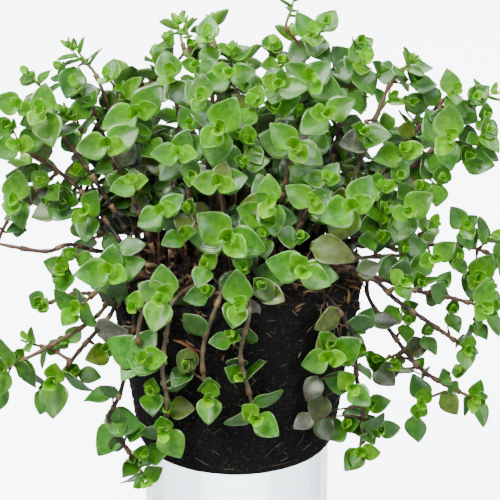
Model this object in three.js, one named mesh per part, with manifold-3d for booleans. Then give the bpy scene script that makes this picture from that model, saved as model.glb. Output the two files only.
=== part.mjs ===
// A potted turtle vine (Callisia repens): a bare, pot-shaped ball of peat that stands on the mouth of a plain
// clear glass, with a dome of leafy shoots over it and others that hang round its sides.
// Millimetres, +Z up. The origin is the middle of the glass's foot, and the plant is looked at along +Y.
import * as THREE from "three";
import { mergeVertices } from "three/addons/utils/BufferGeometryUtils.js";
import Module from "manifold-3d";

// Driving dimensions
const GLASS_RADIUS = 42.5;
const GLASS_HEIGHT = 88;
const GLASS_WALL = 3;
const GLASS_BASE = 8;
const BALL_TOP_RADIUS = 57;
const BALL_FOOT_RADIUS = 44.5;
const BALL_HEIGHT = 82;
const CLEARANCE = 0.3; // between pieces that touch
const OWN_CLEARANCE = 0.05; // between the leaves of one shoot
const STEM_RADIUS = 1.2; // a main stem, to the corners of its three sides
const BRANCH_RADIUS = 1.05;
const STEM_SIDES = 3;
const LEAF_THICKNESS = 0.8;
const LEAF_WIDTH = 0.8; // of its length
const HOLE_DEPTH = 9; // how deep a stem stands in the peat

const BALL_FOOT = GLASS_HEIGHT + CLEARANCE;
const SOIL_TOP = BALL_FOOT + BALL_HEIGHT;
const UP = new THREE.Vector3(0, 0, 1);
const degrees = THREE.MathUtils.degToRad;

// Where a tip stands, as seen from in front and a little above: so many mm to the right of the glass's axis
// and above the soil's middle in the picture, and so many mm behind the axis.
const SIGHT_ELEVATION = degrees(22);
const SIGHT_DISTANCE = 850;
const SIGHT_CENTRE = [6.3, 6.5];
const TOWARDS_EYE = new THREE.Vector3(0, -Math.cos(SIGHT_ELEVATION), Math.sin(SIGHT_ELEVATION));
const PICTURE_UP = new THREE.Vector3(0, Math.sin(SIGHT_ELEVATION), Math.cos(SIGHT_ELEVATION));

function inPicture(across, up) {
  return new THREE.Vector3(across, 0, SOIL_TOP).addScaledVector(PICTURE_UP, up);
}

const EYE = inPicture(...SIGHT_CENTRE).addScaledVector(TOWARDS_EYE, SIGHT_DISTANCE);

function seen(across, up, back) {
  const towards = inPicture(across, up).sub(EYE);
  return EYE.clone().addScaledVector(towards, (back - EYE.y) / towards.y);
}

// A tip at the back, which isn't seen from in front: x, y and the height above the soil.
function behind(x, y, height) {
  return new THREE.Vector3(x, y, SOIL_TOP + height);
}

// The same numbers from 0 to 1 on every run.
function seeded(seed) {
  let state = seed;
  return () => {
    state = (Math.imul(state, 1664525) + 1013904223) >>> 0;
    return state / 4294967296;
  };
}

const random = seeded(20);
const either = (spread) => (2 * random() - 1) * spread;

// One row for each vine: its shoots, the main one first. A shoot is
// [tip, leaf length, spin, face, leaves, points on the way]. Spin is the direction of a full-grown leaf, in
// degrees anticlockwise from the right as seen from in front, and face is how far the shoot turns to the eye,
// from 0 to 1.
const VINES = [
  // Long stems that reach out to the left and the right, or hang down
  [
    [seen(-119, 12, 6), 11, 120, 0.5, 3, [[-62, 6, 4], [-75, 9, 2], [-84, 6, 0], [-100, 8, 2]]],
    [seen(-100, 29, 0), 14, 90, 0.9, 4],
    [seen(-78, -3, -12), 12, 290, 0.8, 3],
  ],
  [
    [seen(-82, -53, -32), 16, 270, 0.9, 5, [[-56, -22, -40], [-68, -36, -38]]],
    [seen(-94, -34, -20), 11, 130, 0.5, 3],
  ],
  [[seen(-106, -47, -28), 14, 250, 0.7, 4, [[-58, -20, -24], [-80, -36, -26]]]],
  [
    [seen(120, 3, 10), 13, 90, 0.6, 3, [[60, 12, 0], [85, 9, 4], [104, 8, 6]]],
    [seen(103, 17, 0), 11, 120, 0.9, 3],
  ],
  [[seen(112, -18, -18), 14, 100, 0.8, 4, [[62, -6, -30], [80, -12, -30], [95, -15, -26]]]],
  [
    [seen(104, -38, -20), 11, 270, 0.8, 4, [[60, -6, -38], [72, -16, -36], [88, -27, -30]]],
    [seen(75, -8, -40), 12, 330, 0.7, 3],
  ],
  [
    [seen(107, -60, -12), 10, 90, 0.9, 4, [[59, -14, -22], [72, -34, -24], [84, -48, -20]]],
    [seen(83, -62, -16), 13, 270, 0.8, 4],
    [seen(68, -44, -22), 11, 150, 0.5, 3],
  ],
  // Down the front of the ball
  [[seen(-42, -42, -56), 16, 200, 1, 4, [[-40, -18, -52], [-44, -32, -54]]]],
  [[seen(-12, -60, -60), 13, 270, 0.9, 5, [[-8, -17, -58], [-14, -34, -58], [-15, -46, -58]]]],
  [[seen(9, -69, -59), 14, 330, 1, 5, [[6, -22, -62], [2, -40, -60], [5, -54, -58]]]],
  [[seen(-32, -75, -54), 14, 290, 0.9, 4, [[-30, -24, -56], [-33, -46, -56], [-31, -60, -55]]]],
  [
    [
      ...[seen(-41, -97, -38), 10, 30, 0.8, 6],
      [[-46, -30, -46], [-52, -58, -46], [-57, -70, -44], [-48, -84, -42]],
    ],
  ],
  [
    [seen(56, -84, -40), 14, 200, 0.9, 7, [[44, -18, -50], [53, -33, -48], [54, -50, -46], [57, -66, -44]]],
    [seen(41, -42, -54), 14, 200, 0.9, 4],
    [seen(52, -56, -52), 13, 330, 0.9, 4],
  ],
  // In front of the dome
  [[seen(26, 53, -28), 15, 135, 1, 5]],
  [[seen(-8, 61, -25), 16, 65, 1, 5]],
  [[seen(-58, 54, -15), 14, 175, 1, 4], [seen(-46, 37, -18), 12, 200, 0.7, 3]],
  [[seen(-45, 68, 0), 16, 205, 1, 5], [seen(-52, 78, 20), 12, 50, 0.5, 3]],
  [[seen(52, 26, -35), 16, 210, 1, 5]],
  [[seen(-4, 12, -52), 17, 150, 1, 5]],
  [[seen(30, -3, -60), 15, 325, 1, 5]],
  [[seen(1, -18, -66), 15, 95, 1, 4]],
  [[seen(15, 28, -42), 13, 90, 0.9, 5]],
  [[seen(-8, 37, -32), 13, 180, 0.9, 4]],
  [[seen(-26, 50, -25), 13, 180, 0.9, 4]],
  [[seen(-34, 24, -42), 12, 210, 0.9, 4]],
  [[seen(34, 28, -32), 13, 150, 0.8, 4], [seen(41, 39, -25), 10, 180, 0.8, 3]],
  [[seen(-57, -3, -46), 15, 180, 0.9, 5]],
  // The crown
  [[seen(41, 68, -10), 15, 20, 0.9, 5]],
  [[seen(33, 83, 0), 14, 140, 0.9, 4], [seen(19, 81, -6), 13, 0, 0.8, 4]],
  [[seen(-16, 75, -10), 13, 90, 0.8, 5], [seen(-3, 86, 0), 13, 0, 0.8, 4]],
  [
    [seen(-13, 103, 15), 13, 90, 0.6, 4],
    [seen(-2, 98, 22), 11, 30, 0.5, 3],
    [seen(-23, 109, 27), 8, 160, 0, 3],
  ],
  [[seen(-30, 85, 10), 14, 100, 0.7, 4]],
  [
    [seen(34, 104, 15), 14, 115, 0.7, 4],
    [seen(26.5, 121, 28), 9, 180, 0, 4],
    [seen(16, 99, 22), 9, 90, 0.5, 3],
  ],
  [[seen(57, 91, 10), 15, 90, 0.7, 5]],
  [[seen(7, 72, -4), 13, 250, 0.6, 3], [seen(6, 55, -14), 12, 300, 0.6, 3]],
  // The left side
  [
    [seen(-88, 69, -10), 14, 90, 0.8, 4],
    [seen(-98, 71, -4), 13, 170, 0.9, 3],
    [seen(-94, 85, 10), 9, 150, 0.3, 3],
  ],
  [[seen(-72, 97, 25), 10, 185, 0, 4], [seen(-58, 85, 15), 11, 90, 0.6, 3]],
  [[seen(-72, 80, 10), 11, 130, 0.5, 4], [seen(-77, 69, 5), 10, 180, 0.3, 3]],
  [
    [seen(-98, 52, -5), 13, 200, 0.9, 4],
    [seen(-86, 36, 4), 12, 330, 0.5, 3],
    [seen(-108, 17, 8), 12, 180, 0.6, 3],
  ],
  [[seen(-67, 24, -6), 13, 60, 0.8, 4], [seen(-70, 41, 6), 13, 250, 0.6, 3]],
  [[seen(-73, -19, -30), 14, 90, 0.9, 4], [seen(-88, -18, -10), 9, 160, 0.8, 3]],
  [[seen(-34, -16, -60), 14, 250, 0.9, 4], [seen(-46, -19, -55), 12, 270, 0.8, 3]],
  // The right side
  [[seen(95, 57, -10), 15, 80, 0.9, 5], [seen(76, 51, 0), 14, 200, 0.7, 3]],
  [[seen(79, 92, 5), 10, 0, 0.2, 4], [seen(70, 75, 10), 11, 170, 0.4, 3]],
  [
    [seen(98, 78, 2), 12, 100, 0.7, 4],
    [seen(115, 77, 12), 11, 130, 0.2, 3],
    [seen(113, 60, -4), 11, 300, 0.5, 3],
  ],
  [[seen(77, 24, -20), 14, 30, 0.9, 4], [seen(66, 35, -8), 11, 190, 0.7, 4]],
  [[seen(89, 3, -22), 13, 30, 1, 4], [seen(88, 18, -2), 11, 110, 0.5, 3]],
];

// Round the back, where nothing is picked out one by one: three shoots to a vine at even turns, the vines'
// heights low, middling and high by turns.
const BACK_VINES = 11;
const BACK_REACHES = [92, 97, 74];
const BACK_HEIGHTS = [2, 36, 66];
for (let i = 0; i < BACK_VINES; i += 1) {
  const turn = degrees(20 + (140 * i) / (BACK_VINES - 1));
  const next = turn + (i < BACK_VINES / 2 ? 0.22 : -0.22);
  const reach = BACK_REACHES[i % 3] + either(5);
  const height = BACK_HEIGHTS[i % 3] + either(6);
  const away = (angle, radius, up) => behind(radius * Math.cos(angle), radius * Math.sin(angle), up);
  VINES.push([
    [away(turn, reach, height), 15, 360 * random(), -0.6, 4],
    [away(next, 0.68 * reach, height + 28), 14, 360 * random(), -0.4, 3],
    [away(turn - 0.12, 0.8 * reach, height + 12), 12, 360 * random(), -0.7, 3],
  ]);
}

// Stems. A main stem stands upright in its hole and then takes one sweep to its tip. A branch leaves the main
// stem near where it passes the branch's tip.
const STEM_STEP = 16; // mm, about, between its bends
const UPRIGHT = 5; // how far a stem goes straight up from the soil
const SWEEP_TRIES = 60;
const ROOT_TRIES = 8;
const ROOT_SPACING = 6.5;
const ROOT_REACH = 47; // from the middle of the soil
const GOLDEN_ANGLE = 2.4;

const near = new THREE.Vector3();

function ballRadiusAt(z) {
  const share = THREE.MathUtils.clamp((z - BALL_FOOT) / BALL_HEIGHT, 0, 1);
  return THREE.MathUtils.lerp(BALL_FOOT_RADIUS, BALL_TOP_RADIUS, share);
}

function clearOfBall({ edges, half }) {
  const margin = half + CLEARANCE;
  return edges.every((edge) =>
    [0, 0.2, 0.4, 0.6, 0.8, 1].every((share) => {
      const { x, y, z } = edge.at(share, near);
      return z > SOIL_TOP + margin || Math.hypot(x, y) > ballRadiusAt(z) + margin;
    }));
}

// Which way a shoot points: up and outwards, or on along a way with points, turned towards the eye by its
// face. A face below 0 looks backwards.
function shootAxis([tip, , , face, , waypoints]) {
  const outward = new THREE.Vector3(tip.x, tip.y, 0).multiplyScalar(0.011);
  const free = waypoints ? tip.clone().sub(seen(...waypoints.at(-1))) : outward.add(UP);
  const looking = face < 0 ? TOWARDS_EYE.clone().setY(-TOWARDS_EYE.y) : TOWARDS_EYE;
  return free.normalize().lerp(looking, Math.abs(face)).normalize();
}

// How far the stem comes up straight behind its tip: less where the ball is close.
function approachOf(tip, waypoints) {
  return waypoints ? 6 : THREE.MathUtils.clamp(0.6 * (tip.z - SOIL_TOP), 5, 15);
}

// The last of a stem: where it turns to its tip, half-way along its straight end, and the tip.
function straightEnd(tip, axis, approach) {
  return [approach, approach / 2, 0].map((behindTip) => tip.clone().addScaledVector(axis, -behindTip));
}

// The golden angle's spiral, which tries the places round a first one, nearest first.
function spiral(index, spacing) {
  const radius = spacing * Math.sqrt(index);
  return [radius * Math.cos(GOLDEN_ANGLE * index), radius * Math.sin(GOLDEN_ANGLE * index)];
}

// The nearest place in the soil to where a stem is bound that is free, or the next free ones after it.
function rootFor(goal, taken, skipped) {
  let left = skipped;
  const reach = Math.min(0.62 * Math.hypot(goal.x, goal.y), ROOT_REACH - 4);
  const turn = Math.atan2(goal.y, goal.x);
  for (let index = 0; ; index += 1) {
    const [dx, dy] = spiral(index, 1.5);
    const root = new THREE.Vector3(reach * Math.cos(turn) + dx, reach * Math.sin(turn) + dy, SOIL_TOP);
    const inside = Math.hypot(root.x, root.y) < ROOT_REACH;
    if (inside && taken.every((other) => other.distanceTo(root) > ROOT_SPACING)) {
      if (left === 0) {
        return root;
      }
      left -= 1;
    }
  }
}

// Where a stem that goes down past the soil passes over the ball's edge.
function overEdge(point) {
  const edge = new THREE.Vector3(point.x, point.y, 0).setLength(BALL_TOP_RADIUS + 4);
  return edge.setZ(Math.max(point.z, SOIL_TOP + 4));
}

// The sweep between two points: a little higher than straight, and put aside further with each try.
function sweep(from, to, attempt) {
  const [aside, ahead] = spiral(attempt, 1.6);
  const middle = from.clone().lerp(to, 0.5);
  middle.add(new THREE.Vector3(aside, ahead, 0.1 * attempt + 0.06 * from.distanceTo(to)));
  const low = to.z < SOIL_TOP + 5 && Math.hypot(middle.x, middle.y) < BALL_TOP_RADIUS + 4;
  return low ? overEdge(middle) : middle;
}

// A tip may give way by a millimetre or two.
function tipFor(shoot, attempt) {
  const [dx, dy] = spiral(attempt, 0.4);
  return shoot[0].clone().add(new THREE.Vector3(dx, 0, dy));
}

function mainStem(shoot, root, attempt) {
  const waypoints = shoot[5];
  const tip = tipFor(shoot, attempt);
  const axis = shootAxis(shoot);
  const heights = [SOIL_TOP - HOLE_DEPTH + CLEARANCE, SOIL_TOP, SOIL_TOP + UPRIGHT];
  const points = heights.map((height) => root.clone().setZ(height));
  const end = straightEnd(tip, axis, approachOf(tip, waypoints));
  if (waypoints) {
    const [aside, ahead] = spiral(attempt, 0.9);
    const way = waypoints.map(([across, up, back]) => seen(across + aside, up + 0.1 * attempt, back + ahead));
    if (way[0].z < SOIL_TOP + 3) {
      points.push(overEdge(way[0]));
    }
    points.push(...way);
  } else {
    points.push(sweep(points[2], end[0], attempt));
  }
  return new THREE.CatmullRomCurve3([...points, ...end]);
}

function branchStem(shoot, parent, attempt, skipped) {
  const tip = tipFor(shoot, attempt);
  const axis = shootAxis(shoot);
  const end = straightEnd(tip, axis, approachOf(tip, null));
  // It starts half-way along one of the main stem's straight lengths below its leaves, the nearest first.
  const lengths = parent.bodies.slice(parent.shoot[4] - 1, -1);
  const starts = lengths.map(({ points }) => points[0].clone().lerp(points[1], 0.5));
  starts.sort((a, b) => a.distanceTo(end[0]) - b.distanceTo(end[0]));
  const start = starts[skipped % starts.length];
  return new THREE.CatmullRomCurve3([start, sweep(start, end[0], attempt), ...end]);
}

// What keeps two pieces apart is measured between their edges and faces, less half of each one's thickness.
function body(points, faces, edges, thickness) {
  const sphere = new THREE.Sphere().setFromPoints(points);
  return {
    points,
    faces: faces.map(([a, b, c]) => new THREE.Triangle(points[a], points[b], points[c])),
    edges: edges.map(([a, b]) => new THREE.Line3(points[a], points[b])),
    half: thickness / 2,
    sphere,
  };
}

const ray = new THREE.Ray();

function crosses(edge, face) {
  ray.origin.copy(edge.start);
  edge.delta(ray.direction).normalize();
  const hit = ray.intersectTriangle(face.a, face.b, face.c, false, near);
  return hit !== null && hit.distanceTo(edge.start) < edge.distance();
}

function tooClose(a, b, clearance) {
  const gap = a.half + b.half + clearance;
  if (a.sphere.center.distanceTo(b.sphere.center) > a.sphere.radius + b.sphere.radius + gap) {
    return false;
  }
  const pairs = [[a, b], [b, a]];
  const pointNearFace = ([one, other]) =>
    other.faces.some((face) =>
      one.points.some((point) => face.closestPointToPoint(point, near).distanceTo(point) < gap));
  return (
    a.edges.some((edge) => b.edges.some((other) => edge.distanceSqToLine3(other) < gap * gap)) ||
    pairs.some(pointNearFace) ||
    pairs.some(([one, other]) => one.edges.some((edge) => other.faces.some((face) => crosses(edge, face))))
  );
}

// How far from its tip a stem has its sections, in mm: at each leaf, and then at even steps down to its
// start, or to where it comes out of the soil.
function stationsOf(curve, leaves, upright) {
  const stations = LEAF_PLACES.slice(0, leaves);
  const end = curve.getLength() - upright;
  const bare = end - stations.at(-1);
  const steps = Math.max(2, Math.round(bare / STEM_STEP));
  for (let i = 1; i <= steps; i += 1) {
    stations.push(end - bare * (1 - i / steps));
  }
  if (upright > 0) {
    stations.push(curve.getLength());
  }
  return stations;
}

function onStem(curve, fromTip) {
  return curve.getPointAt(Math.max(0, 1 - fromTip / curve.getLength()));
}

function stemWay(curve, fromTip) {
  return curve.getTangentAt(Math.max(0, 1 - fromTip / curve.getLength()));
}

// The straight lengths that a stem is made of, from its tip down.
function stemBodies(points, radius) {
  return points.slice(1).map((point, i) => body([points[i], point], [], [[0, 1]], 2 * radius));
}

// Leaves. Each clasps the stem with its foot and stands out at its own angle: cupped round the heart of the
// shoot, flat and then turned down further from it. They stand in two ranks, which turn slowly round the
// stem.
const LEAF_SIZES = [0.45, 0.7, 0.95, 1, 1, 0.95, 0.9];
const LEAF_PLACES = [LEAF_THICKNESS / 2, 2.8, 5.8, 9.7, 15, 22, 30]; // mm along the stem from its tip
const LEAF_OPENINGS = [16, 42, 64, 76, 86, 96, 102];
const LEAF_CUPS = [0.62, 0.5, 0.34, 0.26, 0.2, 0.15, 0.12];
const LEAF_BENDS = [-0.12, -0.08, 0, 0.06, 0.1, 0.14, 0.16];
const RANK_TWIST = 16;
const RIB_SHARE = 0.42; // where a leaf is deepest, along its rib
const SMALL_LEAF = 8; // a shorter leaf has three corners past its foot, not five
const LEAF_TRIES = [
  [0, 0, 1],
  [14, 0, 1],
  [-14, 0, 1],
  [0, -16, 1],
  [26, -6, 0.95],
  [-26, -6, 0.95],
  [10, 14, 0.95],
  [-10, 14, 0.95],
  [38, -12, 0.85],
  [-38, -12, 0.85],
  [0, -30, 0.85],
  [60, -20, 0.75],
  [-60, -20, 0.75],
];

// Half a leaf's width at a share of its length: full soon after the foot, and drawn out to a point.
function halfWidth(share) {
  return 0.5 * Math.sin(Math.PI * share ** 0.7) ** 0.75;
}

function leafPoint(leaf, share, side) {
  const half = LEAF_WIDTH * leaf.length * halfWidth(share);
  const rise = leaf.cup * side * side * half - leaf.bend * leaf.length * share * share;
  return leaf.foot
    .clone()
    .addScaledVector(leaf.along, leaf.length * share)
    .addScaledVector(leaf.across, side * half)
    .addScaledVector(leaf.normal, rise);
}

// A leaf opens round its shoot's axis, unless the stem runs more than so far off it there.
const MOST_LEAN = degrees(70);

function leafAxis(axis, tangent) {
  const lean = axis.angleTo(tangent);
  if (lean <= MOST_LEAN) {
    return axis;
  }
  const hinge = tangent.clone().cross(axis).normalize();
  return tangent.clone().applyAxisAngle(hinge, MOST_LEAN);
}

function leafOn(stem, index, drawn, attempt) {
  const [, length, spin] = stem.shoot;
  const [turn, opening, scale] = LEAF_TRIES[attempt];
  const tangent = stemWay(stem.curve, LEAF_PLACES[index]);
  const axis = leafAxis(shootAxis(stem.shoot), tangent);
  const level = new THREE.Vector3(1, 0, 0).multiplyScalar(Math.cos(degrees(spin)));
  const outward = level.addScaledVector(PICTURE_UP, Math.sin(degrees(spin))).projectOnPlane(axis).normalize();
  outward.applyAxisAngle(axis, degrees(180 * index + RANK_TWIST * (index - 2) + turn + drawn.turn));
  const angle = degrees(LEAF_OPENINGS[index] + opening + drawn.opening);
  const along = axis.clone().multiplyScalar(Math.cos(angle)).addScaledVector(outward, Math.sin(angle));
  const normal = axis.clone().multiplyScalar(Math.sin(angle)).addScaledVector(outward, -Math.cos(angle));
  // The side of the stem that it leaves.
  const side = outward.clone().addScaledVector(along, 0.5).projectOnPlane(tangent).normalize();
  const thickness = 0.6 * LEAF_THICKNESS * Math.max(0, Math.cos(angle));
  const standOff = stem.radius * Math.cos(Math.PI / STEM_SIDES) + thickness;
  return {
    index,
    side,
    foot: onStem(stem.curve, LEAF_PLACES[index]).addScaledVector(side, standOff),
    along,
    normal,
    across: normal.clone().cross(along),
    length: length * LEAF_SIZES[index] * scale * drawn.scale,
    cup: LEAF_CUPS[index],
    bend: LEAF_BENDS[index],
  };
}

function isSmall(leaf) {
  return leaf.length < SMALL_LEAF;
}

// The corners of a blade past its foot: right, tip, left.
function bladeCorners(leaf) {
  const sides = isSmall(leaf) ? [0.36] : [0.22, 0.64];
  const right = sides.map((share) => leafPoint(leaf, share, -1));
  const left = sides.map((share) => leafPoint(leaf, share, 1)).reverse();
  return [...right, leafPoint(leaf, 1, 0), ...left];
}

// The blade alone, or with the foot that joins it to its stem.
function leafBody(leaf, foot) {
  const points = [leafPoint(leaf, RIB_SHARE, 0), ...bladeCorners(leaf), ...foot];
  const faces = [];
  const edges = [[0, 1]];
  for (let i = 2; i < points.length; i += 1) {
    faces.push([0, i - 1, i]);
    edges.push([i - 1, i], [0, i]);
  }
  if (foot.length > 0) {
    faces.push([0, points.length - 1, 1]);
    edges.push([points.length - 1, 1]);
  }
  return body(points, faces, edges, LEAF_THICKNESS);
}

// A stem's section: its corners go round anticlockwise as seen from the tip, and its first side faces one
// way.
function sectionAt(centre, tangent, facing, radius) {
  const flat = facing.clone().projectOnPlane(tangent).normalize();
  return Array.from({ length: STEM_SIDES }, (_, i) => {
    const turn = (Math.PI * (2 * i - 1)) / STEM_SIDES;
    return centre.clone().addScaledVector(flat.clone().applyAxisAngle(tangent, turn), radius);
  });
}

// A skin collects points and faces. Each face is given anticlockwise as seen from outside, and one with four
// corners is split along its shorter diagonal.
function newSkin() {
  const skin = { points: [], faces: [] };
  const between = (a, b) => skin.points[a].distanceTo(skin.points[b]);
  skin.put = (list) => list.map((point) => skin.points.push(point) - 1);
  skin.quad = (a, b, c, d) => {
    if (between(a, c) < between(b, d)) {
      skin.faces.push(a, b, c, a, c, d);
    } else {
      skin.faces.push(b, c, d, b, d, a);
    }
  };
  return skin;
}

// The stem between two sections, apart from the side that a leaf opens.
function addBand(skin, lower, upper, openSide) {
  for (let i = 0; i < STEM_SIDES; i += 1) {
    const next = (i + 1) % STEM_SIDES;
    if (i !== openSide) {
      skin.quad(lower[i], lower[next], upper[next], upper[i]);
    }
  }
}

// A leaf between the two corners above and the two below that its foot opens the stem at. A small one is
// folded along its rib only, and a large one is cupped round the middle of its rib.
function addLeaf(skin, leaf, feetAbove, feetBelow) {
  const surfaces = [feetAbove, feetBelow].map(([right, left], below) => {
    const shift = (below ? -0.5 : 0.5) * LEAF_THICKNESS;
    const lift = (point) => point.clone().addScaledVector(leaf.normal, shift);
    const middle = lift(leafPoint(leaf, RIB_SHARE, 0));
    return [right, ...skin.put(bladeCorners(leaf).map(lift)), left, ...skin.put([middle])];
  });
  const [above, below] = surfaces;
  const rib = above.length - 1;
  for (let i = 0; i < rib - 1; i += 1) {
    skin.quad(above[i], below[i], below[i + 1], above[i + 1]);
  }
  const fan = above.slice(1).map((_, i) => [i, (i + 1) % rib, rib]);
  const faces = isSmall(leaf) ? [[0, 1, 2], [0, 2, 4], [2, 3, 4]] : fan;
  for (const [a, b, c] of faces) {
    skin.faces.push(above[a], above[b], above[c], below[b], below[a], below[c]);
  }
}

// A shoot is one skin: a stem whose side opens at each leaf into the leaf's foot.
function shootSkin(stem, leaves) {
  const { curve, radius } = stem;
  const skin = newSkin();
  let facing = new THREE.Vector3(0.37, -1, 0.12);
  let last = null;
  stem.stations.forEach((station, place) => {
    const leaf = leaves.find(({ index }) => index === place);
    const tangent = stemWay(curve, station);
    const centre = onStem(curve, station);
    facing.projectOnPlane(tangent).normalize();
    let side = 0;
    if (leaf) {
      // The section is turned so that one of its sides faces the leaf, by less than one side.
      const out = leaf.side.clone();
      const angle = Math.atan2(facing.clone().cross(out).dot(tangent), facing.dot(out));
      const sides = Math.round((angle * STEM_SIDES) / (2 * Math.PI));
      side = (sides + STEM_SIDES) % STEM_SIDES;
      facing = out.applyAxisAngle(tangent, (-2 * Math.PI * sides) / STEM_SIDES);
    }
    const thick = leaf || place === 0 ? LEAF_THICKNESS / 2 : 0;
    const above = centre.clone().addScaledVector(tangent, thick);
    const upper = skin.put(sectionAt(above, tangent, facing, radius));
    if (last) {
      addBand(skin, upper, last, -1);
    } else {
      skin.faces.push(...upper);
    }
    last = upper;
    if (thick > 0) {
      const next = (side + 1) % STEM_SIDES;
      const below = centre.clone().addScaledVector(tangent, -thick);
      const lower = skin.put(sectionAt(below, tangent, facing, radius));
      addBand(skin, lower, upper, leaf ? side : -1);
      if (leaf) {
        addLeaf(skin, leaf, [upper[side], upper[next]], [lower[side], lower[next]]);
      }
      last = lower;
    }
  });
  skin.faces.push(...last.reverse());
  return skin;
}

function isThrough(points, one, other) {
  return one.corners.some((corner, i) => {
    const next = one.corners[(i + 1) % 3];
    const apart = !other.corners.includes(corner) && !other.corners.includes(next);
    return apart && crosses(new THREE.Line3(points[corner], points[next]), other.face);
  });
}

// Whether a skin runs through itself, as at a bend that is too tight or a leaf that lies into its stem.
function isTangled({ points, faces }) {
  const triangles = Array.from({ length: faces.length / 3 }, (_, i) => {
    const corners = faces.slice(3 * i, 3 * i + 3);
    const face = new THREE.Triangle(...corners.map((corner) => points[corner]));
    return { corners, face, box: new THREE.Box3().setFromPoints([face.a, face.b, face.c]) };
  });
  return triangles.some((one, i) =>
    triangles.slice(i + 1).some((other) =>
      one.box.intersectsBox(other.box) && (isThrough(points, one, other) || isThrough(points, other, one))));
}

// A closed geometry as a solid that can be joined and cut, and back.
const wasm = await Module();
wasm.setup();

function solid(geometry) {
  for (const name of ["normal", "uv"]) {
    geometry.deleteAttribute(name);
  }
  const merged = mergeVertices(geometry, 1e-4);
  return new wasm.Manifold(
    new wasm.Mesh({
      numProp: 3,
      vertProperties: new Float32Array(merged.attributes.position.array),
      triVerts: new Uint32Array(merged.index.array),
    }),
  );
}

const group = new THREE.Group();

function addNode(name, piece, material) {
  const { vertProperties, triVerts, numProp } = piece.getMesh();
  const positions = [];
  for (let i = 0; i < vertProperties.length; i += numProp) {
    positions.push(...vertProperties.slice(i, i + 3));
  }
  const geometry = new THREE.BufferGeometry();
  geometry.setAttribute("position", new THREE.Float32BufferAttribute(positions, 3));
  geometry.setIndex([...triVerts]);
  geometry.computeVertexNormals();
  const mesh = new THREE.Mesh(geometry, material);
  mesh.name = name;
  group.add(mesh);
}

// Every stem finds its way first, and then the leaves take what room there is, the youngest first.
const roots = [];
const stems = [];

function isFree({ bodies, vine, place }) {
  const outside = place === 0 ? bodies.slice(0, -1) : bodies;
  return (
    outside.every(clearOfBall) &&
    stems.every((other) => {
      // A branch's last length starts in its own main stem.
      const own = other.vine === vine ? bodies.slice(0, -1) : bodies;
      return !other.bodies.some((piece) => own.some((length) => tooClose(piece, length, CLEARANCE)));
    })
  );
}

function findStem(vine, place, shoot) {
  const radius = place === 0 ? STEM_RADIUS : BRANCH_RADIUS;
  const upright = place === 0 ? HOLE_DEPTH - CLEARANCE + 0.8 * UPRIGHT : 0;
  const goal = shoot[5] ? seen(...shoot[5][0]) : shoot[0];
  const parent = stems.find((stem) => stem.vine === vine);
  for (let tries = 0; tries < ROOT_TRIES * SWEEP_TRIES; tries += 1) {
    const attempt = tries % SWEEP_TRIES;
    const skipped = Math.floor(tries / SWEEP_TRIES);
    const root = rootFor(goal, roots, skipped);
    const curve =
      place === 0 ? mainStem(shoot, root, attempt) : branchStem(shoot, parent, attempt, skipped);
    const stations = stationsOf(curve, shoot[4], upright);
    const bodies = stemBodies(stations.map((station) => onStem(curve, station)), radius);
    const stem = { vine, place, shoot, curve, radius, stations, bodies, leaves: [] };
    if (isFree(stem) && !isTangled(shootSkin(stem, []))) {
      if (place === 0) {
        roots.push(root);
      }
      return stem;
    }
  }
  return null;
}

VINES.forEach((shoots, vine) => {
  shoots.forEach((shoot, place) => {
    const found = findStem(vine, place, shoot);
    if (found) {
      stems.push(found);
    } else {
      throw new Error(`shoot ${place} of vine ${vine + 1} finds no way`);
    }
  });
});

function isRoomFor(blade, whole, stem) {
  return (
    clearOfBall(blade) &&
    stems.every((other) => {
      if (other === stem) {
        const own = [...stem.leaves.map((grown) => grown.blade), ...stem.bodies];
        return !own.some((piece) => tooClose(piece, blade, OWN_CLEARANCE));
      }
      const against = [...other.leaves.map((grown) => grown.whole), ...other.bodies];
      return !against.some((piece) => tooClose(piece, whole, CLEARANCE));
    })
  );
}

// A leaf that finds no room in any of its tries doesn't grow.
function growLeaf(stem, index) {
  const drawn = { turn: either(9), opening: either(7), scale: 1 + either(0.08) };
  for (let attempt = 0; attempt < LEAF_TRIES.length; attempt += 1) {
    const leaf = leafOn(stem, index, drawn, attempt);
    const blade = leafBody(leaf, []);
    const whole = leafBody(leaf, [leaf.foot]);
    const others = stem.leaves.map((grown) => grown.leaf);
    if (isRoomFor(blade, whole, stem) && !isTangled(shootSkin(stem, [...others, leaf]))) {
      stem.leaves.push({ leaf, blade, whole });
      return;
    }
  }
}

const mostLeaves = Math.max(...stems.map((stem) => stem.shoot[4]));
for (let index = 0; index < mostLeaves; index += 1) {
  for (const stem of stems.filter(({ shoot }) => index < shoot[4])) {
    growLeaf(stem, index);
  }
}

// The glass: an upright straight tumbler with a thick foot.
const inner = GLASS_RADIUS - GLASS_WALL;
const glassProfile = [
  [0, 0],
  [GLASS_RADIUS - 2, 0],
  [GLASS_RADIUS, 2],
  [GLASS_RADIUS, GLASS_HEIGHT],
  [inner, GLASS_HEIGHT],
  [inner, GLASS_BASE + 3],
  [inner - 3, GLASS_BASE],
  [0, GLASS_BASE],
];

// The root ball: still the shape of the nursery pot that it came out of, with a hole for each stem.
const ballProfile = [
  [0, BALL_FOOT],
  [BALL_FOOT_RADIUS - 3, BALL_FOOT],
  [BALL_FOOT_RADIUS, BALL_FOOT + 3],
  [BALL_TOP_RADIUS, SOIL_TOP - 3],
  [BALL_TOP_RADIUS - 2, SOIL_TOP],
  [0, SOIL_TOP],
];

function turned(profile, sides) {
  const points = profile.map(([radius, height]) => new THREE.Vector2(radius, height));
  const lathe = new THREE.LatheGeometry(points, sides);
  return solid(lathe.rotateX(Math.PI / 2));
}

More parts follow.
